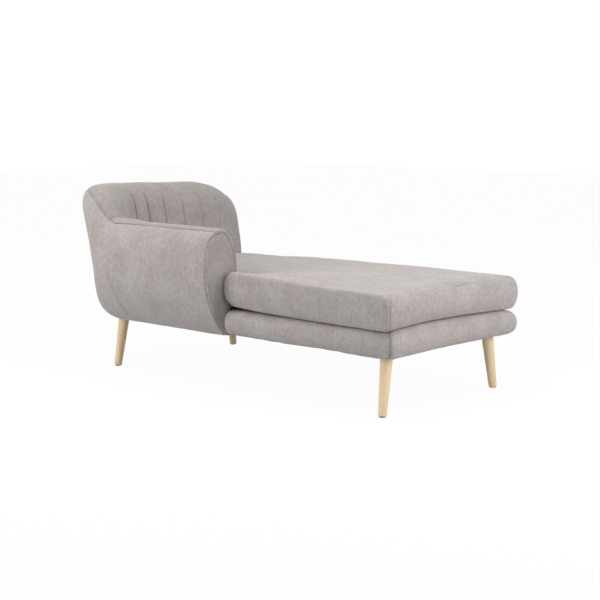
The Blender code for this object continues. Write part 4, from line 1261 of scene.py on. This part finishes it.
def mitre(x, y):
    """Dip and shade of the sewn corners at the foot: distance from the corner's diagonal."""
    depth = np.zeros(x.shape)
    for side in (-1.0, 1.0):
        beside = ((x - FOOT_X + MITRE_ASIDE) - side * (y - side * SEAT_HALF)) / math.sqrt(2.0)
        close = np.exp(-((np.hypot(x - FOOT_X, y - side * SEAT_HALF) / MITRE_REACH) ** MITRE_POWER))
        depth = np.maximum(depth, dip(beside, 1.0, MITRE_WIDTH) * close)
    return depth


def even_copy(rings):
    """An object with an even mesh of the lofted form, for the cloth run."""
    points, quads = lofted(rings)
    mesh = bpy.data.meshes.new("cushion_cloth")
    mesh.from_pydata(points.tolist(), [], quads.tolist())
    weld(mesh)
    cover = bpy.data.objects.new("cushion_cloth", mesh)
    bpy.context.scene.collection.objects.link(cover)
    remesh = cover.modifiers.new("even", "REMESH")
    remesh.mode = "VOXEL"
    remesh.voxel_size = FILL_VOXEL
    even = bpy.data.meshes.new_from_object(cover.evaluated_get(bpy.context.evaluated_depsgraph_get()))
    cover.modifiers.clear()
    cover.data = even
    return cover


def places_of(mesh):
    """The points of a mesh as an array."""
    places = np.empty(3 * len(mesh.vertices), np.float32)
    mesh.vertices.foreach_get("co", places)
    return places.reshape(-1, 3)


def filled_moves(rings):
    """How far the cushion's points move when its cover is filled: a cloth run with pressure.

    The underside is held, and the near side's top edge for the most part."""
    cover = even_copy(rings)
    start = places_of(cover.data)
    held = cover.vertex_groups.new(name="held")
    high = start[:, 2] > SEAT_Z + EDGE_HOLD_HIGH * CUSHION_HEIGHT
    near_edge = high & (start[:, 1] < EDGE_HOLD_IN - SEAT_HALF)
    held.add(np.flatnonzero(near_edge).tolist(), EDGE_HOLD, "REPLACE")
    held.add(np.flatnonzero(start[:, 2] < SEAT_Z + 0.5 * FILL_VOXEL).tolist(), 1.0, "REPLACE")
    cloth = cover.modifiers.new("filled", "CLOTH")
    cloth.settings.use_pressure = True
    cloth.settings.uniform_pressure_force = FILL_PRESSURE
    cloth.settings.effector_weights.gravity = 0.0
    cloth.settings.vertex_group_mass = "held"
    cloth.point_cache.frame_end = FILL_FRAMES
    scene = bpy.context.scene
    for step in range(1, FILL_FRAMES + 1):
        scene.frame_set(step)
    moved = places_of(cover.evaluated_get(bpy.context.evaluated_depsgraph_get()).data) - start
    scene.frame_set(1)
    bpy.data.objects.remove(cover)
    length = np.linalg.norm(moved, axis=1, keepdims=True)
    moved *= FILL_CAP * np.tanh(length / FILL_CAP) / np.maximum(length, 1e-9)
    tree = KDTree(len(start))
    for number, place in enumerate(start):
        tree.insert(place, number)
    tree.balance()
    moves = np.empty((rings.shape[0] * rings.shape[1], 3))
    for number, place in enumerate(rings.reshape(-1, 3)):
        found = tree.find_n(place, FILL_NEIGHBOURS)
        shares = 1.0 / np.array([far + FILL_BLEND * FILL_VOXEL for _, _, far in found]) ** 2
        moves[number] = shares @ moved[[k for _, k, _ in found]] / shares.sum()
    return moves.reshape(rings.shape)


def make_cushion():
    """The loose seat cushion: its form, the cloth run that fills it, then its seams and wrinkles."""
    rings = cushion_rings()
    normal = normals_of_rings(rings)
    x, y, z = rings[..., 0], rings[..., 1], rings[..., 2]
    high = ease((z - SEAT_Z - 0.5 * CUSHION_HEIGHT) / (0.5 * CUSHION_HEIGHT))
    rings[..., 2] = level_of_cushion(x, y, z) + crown(x, y) * high + edge_lift(x, y, z) + ear_lift(x, y, z)
    wrinkled = wrinkles(rings)
    above_deck = ease((z - SEAT_Z) / FILL_RISE)[..., None]
    rings = rings - FILL_START * normal * above_deck
    rings = rings + filled_moves(rings) * above_deck
    below_top = 1.0 - rise(z - SEAT_Z, MITRE_TOP * CUSHION_HEIGHT, MITRE_FADE * CUSHION_HEIGHT)
    sewn = mitre(x, y) * (MITRE_FAINT + (1.0 - MITRE_FAINT) * below_top)
    relief = waves(rings, CUSHION_WAVES) - MITRE_DIP * sewn - wrinkled + puckers(x, y, z)
    relief = relief * rise(z - SEAT_Z, *RELIEF_ABOVE)
    points, quads = lofted(rings + normal * relief[..., None])
    nodes = ["seat_cushion_cover", "seat_cushion_foam", "seat_cushion_bottom"]
    # Painted shade in the mitres and the wrinkles
    shade = np.maximum(MITRE_DARK * sewn, WRINKLE_SHADE * wrinkled)
    piece = make_piece("seat_cushion", points, quads, [VELOUR, LINING], nodes,
                       body="cushion", seam=shade)
    heights = np.array([polygon.center.z for polygon in piece.data.polygons])
    facing = np.array([polygon.normal.z for polygon in piece.data.polygons])
    under = (heights < SEAT_Z + UNDERSIDE_RISE) & (facing < UNDERSIDE_FACING)
    piece.data.polygons.foreach_set("material_index", under.astype(np.int32))


def make_base():
    """The padded band round the seat frame: near side, foot and far side, with mitred corners."""
    start = ARM_FRONT_X + FACING + BASE_TOUCH + 3.0 * GAP
    stop = SHELL_BACK_X + BACK_INSIDE + GAP
    low = RAIL_Z - BASE_DROP
    high = DECK_Z - GAP
    half = 0.5 * (high - low)
    spans = [graded(length, BASE_STEP) for length in (FOOT_X - start, 2.0 * SEAT_HALF, FOOT_X - stop)]

    def band(out, near_round, far_round, z):
        """One level of the band, at a distance outside the rails."""
        corners = [(start, -RAIL_HALF - out), (RAIL_FOOT_X + out, -RAIL_HALF - out),
                   (RAIL_FOOT_X + out, RAIL_HALF + out), (stop, RAIL_HALF + out)]
        return at_height(rounded_line(corners, (0.0, near_round, far_round, 0.0), spans, False), z)

    face, back = [], []
    for angle in np.linspace(-0.5 * math.pi, 0.5 * math.pi, BASE_ROWS):
        bulge, height = bullnose(angle, NOSE_POWER)
        z = low + half + half * height
        face.append(band(EDGE_PAD - BASE_BULGE * (1.0 - bulge), BASE_CORNER_ROUND, CORNER_ROUND, z))
        back.append(band(GAP, BASE_BACK_ROUND, BASE_BACK_ROUND, z))
    face, back = np.array(face), np.array(back)
    run = run_along(face[BASE_ROWS // 2])
    to_end = np.minimum(run, run[-1] - run) / BASE_END_ROUND
    full = np.sqrt(1.0 - (1.0 - np.clip(to_end, 0.0, 1.0)) ** 2)[None, :, None]
    out = face[..., :2] - back[..., :2]
    face[..., :2] = back[..., :2] + out * (BASE_END_DEPTH + (1.0 - BASE_END_DEPTH) * full)
    up = face[..., 2:] - low - half
    face[..., 2:] = low + half + up * (BASE_END_HIGH + (1.0 - BASE_END_HIGH) * full)
    normal = np.cross(np.gradient(face, axis=1), np.gradient(face, axis=0))
    normal /= np.maximum(np.linalg.norm(normal, axis=-1, keepdims=True), 1e-12)
    for grid in (face, back):
        share = (grid[..., 2] - low) / (high - low)
        lifted = BASE_ARCH_LOW + (1.0 - BASE_ARCH_LOW) * share
        grid[..., 2] += foot_arch(grid[..., 0], grid[..., 1]) * lifted
    sewn = mitre(face[..., 0], face[..., 1])
    relief = waves(face, BASE_WAVES) - MITRE_DIP * sewn
    points, quads = closed_sheet(face + normal * relief[..., None], back)
    nodes = ["base_cover", "base_edge_foam"]
    make_piece("base_band", points, quads, [VELOUR], nodes, seam=BASE_MITRE_DARK * sewn)


def make_deck():
    """Felt pad over the springs, with slight waves along it and a pressed edge."""
    low, high = drawn_box("deck_pad")
    x, y, rim = plan_grid(low, high, DECK_STEP)
    wave = 0.5 + 0.5 * np.cos(math.tau * (x - low[0]) / ((high[0] - low[0]) / DECK_WAVES))
    uneven = 0.5 + 0.5 * wander(np.stack([x, y, np.zeros_like(x)], -1), DECK_UNEVEN_LENGTH, DECK_SEED)
    drop = DECK_WAVE * wave + DECK_UNEVEN * uneven + dip(rim, DECK_EDGE_DIP, DECK_EDGE_WIDTH)
    face = np.stack([x, y, high[2] - drop], -1)
    back = np.stack([x, y, np.full_like(x, low[2])], -1)
    points, quads = closed_sheet(face, back)
    make_piece("deck_felt", points, quads, [DECK_FELT], ["deck_pad"])


def make_dust_cloth():
    """Dust cloth stapled under the frame, rounded under the shell's corner, with a little sag."""
    low, high = drawn_box("dust_cover")
    x, y, rim = plan_grid(low, high, DUST_STEP)
    past_x = np.minimum(x - low[0] - SHELL_CORNER_R, 0.0)
    past_y = np.minimum(y - low[1] - SHELL_CORNER_R, 0.0)
    square = np.maximum(-past_x, -past_y)
    round_off = np.where(past_x * past_y > 0.0, square / np.maximum(np.hypot(past_x, past_y), 1e-9), 1.0)
    x = x - past_x * (1.0 - round_off)
    y = y - past_y * (1.0 - round_off)
    uneven = wander(np.stack([x, y, np.zeros_like(x)], -1), DUST_WAVE_LENGTH, DUST_SEED)
    sag = DUST_SAG * ease(rim / DUST_SAG_SPAN) + DUST_WAVE * uneven * ease(rim / DUST_WAVE_SPAN)
    points, quads = closed_sheet(np.stack([x, y, low[2] - sag], -1), np.stack([x, y, high[2] - sag], -1))
    piece = make_piece("dust_cloth", points, quads, [DUST_CLOTH], ["dust_cover"])
    length, width = high[0] - low[0], high[1] - low[1]
    cut_corner = (1.0 - 0.25 * math.pi) * SHELL_CORNER_R ** 2
    length * width - cut_corner


def geometry_tree(name, sizes):
    """An empty Geometry Nodes tree with a mesh in, a mesh out and named sizes."""
    tree = bpy.data.node_groups.new(name, "GeometryNodeTree")
    tree.interface.new_socket("Geometry", in_out="OUTPUT", socket_type="NodeSocketGeometry")
    tree.interface.new_socket("Geometry", in_out="INPUT", socket_type="NodeSocketGeometry")
    for size in sizes:
        tree.interface.new_socket(size, in_out="INPUT", socket_type="NodeSocketFloat")
    nodes = Nodes(tree)
    source = tree.nodes.new("NodeGroupInput")
    inputs = {socket.name: Value(nodes, socket) for socket in source.outputs if socket.name}
    return nodes, inputs


def close_tree(nodes, shape, material):
    """Ends a tree in real geometry with its material."""
    real = nodes.add("GeometryNodeRealizeInstances", None, {"Geometry": shape})
    smooth = nodes.add("GeometryNodeSetShadeSmooth", None, {"Geometry": real})
    finished = nodes.add("GeometryNodeSetMaterial", None, {"Geometry": smooth, "Material": material})
    sink = nodes.tree.nodes.new("NodeGroupOutput")
    nodes.feed(sink.inputs[0], finished)
    return nodes.tree


def turning_tree(name, material, around):
    """Turns round forms along lines: each point's radius is the attribute "turned"."""
    nodes, inputs = geometry_tree(name, ["Radius Scale"])
    line = nodes.add("GeometryNodeMeshToCurve", None, {"Mesh": inputs["Geometry"]})
    radius = nodes.add("GeometryNodeInputNamedAttribute", {"data_type": "FLOAT"}, {"Name": "turned"})
    ring = nodes.add("GeometryNodeCurvePrimitiveCircle", None, {"Resolution": around, "Radius": 1.0})
    form = nodes.add("GeometryNodeCurveToMesh", None, {
        "Curve": line,
        "Profile Curve": ring,
        "Scale": radius * inputs["Radius Scale"],
        "Fill Caps": True,
    })
    return close_tree(nodes, form, material)


def row_tree(name, material, shape):
    """Sets a small fixing at even steps along lines: a thread stitch or a wire staple."""
    nodes, inputs = geometry_tree(name, ["Pitch", "Length", "Thickness"])
    line = nodes.add("GeometryNodeMeshToCurve", None, {"Mesh": inputs["Geometry"]})
    steps = {"Curve": line, "Length": inputs["Pitch"]}
    spots = nodes.add("GeometryNodeCurveToPoints", {"mode": "LENGTH"}, steps, output="Points")
    if shape == "stitch":
        fixing = nodes.add("GeometryNodeMeshIcoSphere", None, {"Radius": 0.5, "Subdivisions": 2})
    else:
        fixing = nodes.add("GeometryNodeMeshCylinder", None, {"Vertices": 8, "Radius": 0.5, "Depth": 1.0})
    thick = inputs["Thickness"]
    size = nodes.add("ShaderNodeCombineXYZ", None, {"X": thick, "Y": thick, "Z": inputs["Length"]})
    placed = nodes.add("GeometryNodeInstanceOnPoints", None, {
        "Points": spots,
        "Instance": fixing,
        "Rotation": Value(nodes, spots.socket.node.outputs["Rotation"]),
        "Scale": size,
    })
    return close_tree(nodes, placed, material)


def grown_piece(name, tree, lines, sizes, attribute=None):
    """A plain mesh grown by a tree along polylines, given in the drawing's frame."""
    points = np.concatenate(lines) + ORIGIN
    edges = []
    first = 0
    for line in lines:
        edges += [(first + k, first + k + 1) for k in range(len(line) - 1)]
        first += len(line)
    seed = bpy.data.meshes.new(name + "_lines")
    seed.from_pydata(points.tolist(), edges, [])
    if attribute is not None:
        seed.attributes.new("turned", "FLOAT", "POINT").data.foreach_set("value", attribute)
    carrier = bpy.data.objects.new(name + "_lines", seed)
    bpy.context.scene.collection.objects.link(carrier)
    modifier = carrier.modifiers.new(name, "NODES")
    modifier.node_group = tree
    for item in tree.interface.items_tree:
        if item.in_out == "INPUT" and item.name in sizes:
            modifier[item.identifier] = sizes[item.name]
    evaluated = carrier.evaluated_get(bpy.context.evaluated_depsgraph_get())
    mesh = bpy.data.meshes.new_from_object(evaluated)
    mesh.name = name
    bpy.data.objects.remove(carrier)
    piece = bpy.data.objects.new(name, mesh)
    bpy.context.scene.collection.objects.link(piece)
    return piece


def leg_axis(corner):
    """Tip and top of one leg's axis."""
    tip = np.array(GLIDE_MIDDLES[corner]) - ORIGIN
    lean = LEG_SPLAY * np.sign(tip[:2])
    top = np.array([tip[0] - lean[0], tip[1] - lean[1], LEG_TOP_Z])
    tip[2] = LEG_TIP_Z
    return tip, top


def make_turned(name, finish, around, lines, radii, nodes):
    """Round pieces turned along lines, all with the same radii."""
    tree = turning_tree(name, finish, around)
    piece = grown_piece(name, tree, lines, {"Radius Scale": 1.0}, np.tile(radii, len(lines)))
    piece.data.set_sharp_from_angle(angle=TURNED_SHARP)
    settle(piece, nodes)


def make_legs():
    """Turned beech legs along their splayed axes, and the upright glides under them."""
    length = LEG_TOP_Z - LEG_TIP_Z
    arc = np.linspace(0.0, 0.5 * math.pi, LEG_ROUND_STEPS)
    straight = np.linspace(LEG_ROUND_END, length, LEG_STEPS)
    heights = np.concatenate([LEG_TIP_ROUND * (1.0 - np.cos(arc)), straight])
    radii = LEG_TIP_R + (LEG_TOP_R - LEG_TIP_R) * heights / length
    radii[: len(arc)] -= LEG_TIP_ROUND * (1.0 - np.sin(arc))
    axes = [leg_axis(corner) for corner in CORNERS]
    lines = [tip + (top - tip) * (heights / length)[:, None] for tip, top in axes]
    nodes = ["leg_" + corner for corner in CORNERS]
    make_turned("beech_legs", BEECH, LEG_AROUND, lines, radii, nodes)

    arc = np.linspace(0.0, 0.5 * math.pi, GLIDE_ROUND_STEPS)
    heights = np.concatenate([GLIDE_ROUND * (1.0 - np.cos(arc)), [LEG_TIP_Z]])
    radii = np.concatenate([GLIDE_R - GLIDE_ROUND * (1.0 - np.sin(arc)), [GLIDE_R]])
    lines = [np.array([(*tip[:2], height) for height in heights]) for tip, top in axes]
    nodes = ["glide_" + corner for corner in CORNERS]
    make_turned("glides", GLIDE_PLASTIC, GLIDE_AROUND, lines, radii, nodes)


def make_stitches():
    """Thread in the sewn channels of the back."""
    t = np.linspace(CHANNEL_STEP + 0.5 * CHANNEL_FADE, STITCH_LAST_STEP, STITCH_SAMPLES)
    lines = []
    for u in channel_runs():
        depth = CHANNEL_DIP * channel_strength(u, t) - 0.5 * STITCH_THICK
        lines.append(on_shell(np.full_like(t, u), t, depth))
    tree = row_tree("thread_stitches", THREAD, "stitch")
    sizes = {"Pitch": STITCH_PITCH, "Length": STITCH_LENGTH, "Thickness": STITCH_THICK}
    stitches = grown_piece("channel_stitches", tree, lines, sizes)
    settle(stitches)


def make_staples():
    """Wire staples that hold the dust cloth's edge to the rails."""
    low, high = drawn_box("dust_cover")
    z = low[2] - STAPLE_BELOW
    low, high = low + STAPLE_IN, high - STAPLE_IN
    corners = [(low[0], low[1]), (high[0], low[1]), (high[0], high[1]), (low[0], high[1])]
    spans = [graded(side, DUST_STEP) for side in [high[0] - low[0], high[1] - low[1]] * 2]
    line = at_height(rounded_line(corners, DUST_RADII, spans, True), z)
    tree = row_tree("staple_row", STEEL, "staple")
    sizes = {"Pitch": STAPLE_PITCH, "Length": STAPLE_LENGTH, "Thickness": STAPLE_THICK}
    staples = grown_piece("dust_staples", tree, [np.concatenate([line, line[:1]])], sizes)
    settle(staples)


def dress_frame():
    """Materials of the carcass that stays as it is in the frame."""
    for name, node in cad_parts.items():
        if name.startswith(("rail_back", "rail_foot", "cross_rail", "back_rail")):
            material = PINE_CROSS
        elif name.startswith(("rail_", "arm_rail", "corner_block")):
            material = PINE_LONG
        elif "_rib" in name:
            material = PLYWOOD
        elif name.endswith("_board"):
            material = FIBREBOARD
        elif name.startswith("back_strap"):
            material = WEBBING
        elif name.startswith(("leg_plate", "leg_bolt", "seat_spring")):
            material = STEEL
        else:
            continue
        node.data.materials.clear()
        node.data.materials.append(material)


def seen_directly(nodes):
    """1 for rays from the camera or off gloss and through glass, 0 for those that light the object."""
    ray = nodes.tree.nodes.new("ShaderNodeLightPath")
    camera, glossy, clear = (
        Value(nodes, ray.outputs[f"Is {kind} Ray"]) for kind in ("Camera", "Glossy", "Transmission"))
    return nodes.add("ShaderNodeClamp", None, {"Value": camera + glossy + clear})


def make_world():
    """White background that lights the object only in part."""
    world = bpy.data.worlds.new("studio")
    bpy.context.scene.world = world
    world.use_nodes = True
    nodes = Nodes(world.node_tree)
    background = world.node_tree.nodes["Background"]
    background.inputs["Color"].default_value = (1.0, 1.0, 1.0, 1.0)
    nodes.feed(background.inputs["Strength"], AMBIENT + seen_directly(nodes) * (1.0 - AMBIENT))


def make_floor():
    """Plain floor, white to the camera, that takes the object's shadow."""
    finish = Finish("studio_floor", {"Roughness": 0.9, "Specular IOR Level": 0.0})
    cloud = finish.noise(1.5, 1.0)
    pale = finish.ramp(cloud, (0.0, (0.94, 0.94, 0.94)), (1.0, (0.96, 0.96, 0.96)))
    seen = seen_directly(finish)
    finish.colour(finish.mixed(seen, (FLOOR_BOUNCE, FLOOR_BOUNCE, FLOOR_BOUNCE, 1.0), pale))
    white = finish.add("ShaderNodeEmission", None, {"Color": (1.0, 1.0, 1.0, 1.0), "Strength": 1.0})
    painted = Value(finish, finish.shader.outputs[0])
    surface = finish.add("ShaderNodeMixShader", None, {0: seen * FLOOR_WHITE, 1: painted, 2: white})
    finish.feed(finish.tree.nodes["Material Output"].inputs["Surface"], surface)
    mesh = bpy.data.meshes.new("floor")
    corners = [(x * FLOOR_SIDE, y * FLOOR_SIDE, 0.0) for x, y in ((-1, -1), (1, -1), (1, 1), (-1, 1))]
    mesh.from_pydata(corners, [], [(0, 1, 2, 3)])
    mesh.materials.append(finish.material)
    floor = bpy.data.objects.new("floor", mesh)
    bpy.context.scene.collection.objects.link(floor)


def make_lamps():
    """Soft area lamps: one overhead, one on the arm's side and one at the foot."""
    for name, place, aim, size, power in LAMPS:
        data = bpy.data.lights.new(name, "AREA")
        data.shape = "RECTANGLE"
        data.size, data.size_y = size
        data.energy = power
        lamp = bpy.data.objects.new(name, data)
        lamp.location = place
        lamp.rotation_euler = (Vector(aim) - Vector(place)).to_track_quat("-Z", "Y").to_euler()
        lamp.visible_camera = False
        bpy.context.scene.collection.objects.link(lamp)


def make_camera():
    """The photograph's camera."""
    data = bpy.data.cameras.new("camera")
    data.sensor_width = 36.0
    data.lens = PHOTO_FOCAL / PHOTO_SIDE * data.sensor_width
    camera = bpy.data.objects.new("camera", data)
    camera.location = Vector(CAMERA_PLACE + ORIGIN)
    level = math.cos(CAMERA_PITCH)
    ahead = Vector((level * math.cos(CAMERA_YAW), level * math.sin(CAMERA_YAW), -math.sin(CAMERA_PITCH)))
    camera.rotation_euler = ahead.to_track_quat("-Z", "Y").to_euler()
    bpy.context.scene.collection.objects.link(camera)
    bpy.context.scene.camera = camera


make_shell_covers()
make_facings()
make_cushion()
make_base()
make_deck()
make_dust_cloth()
make_legs()
make_stitches()
make_staples()
dress_frame()
make_world()
make_floor()
make_lamps()
make_camera()
bpy.context.scene.view_settings.view_transform = "Standard"
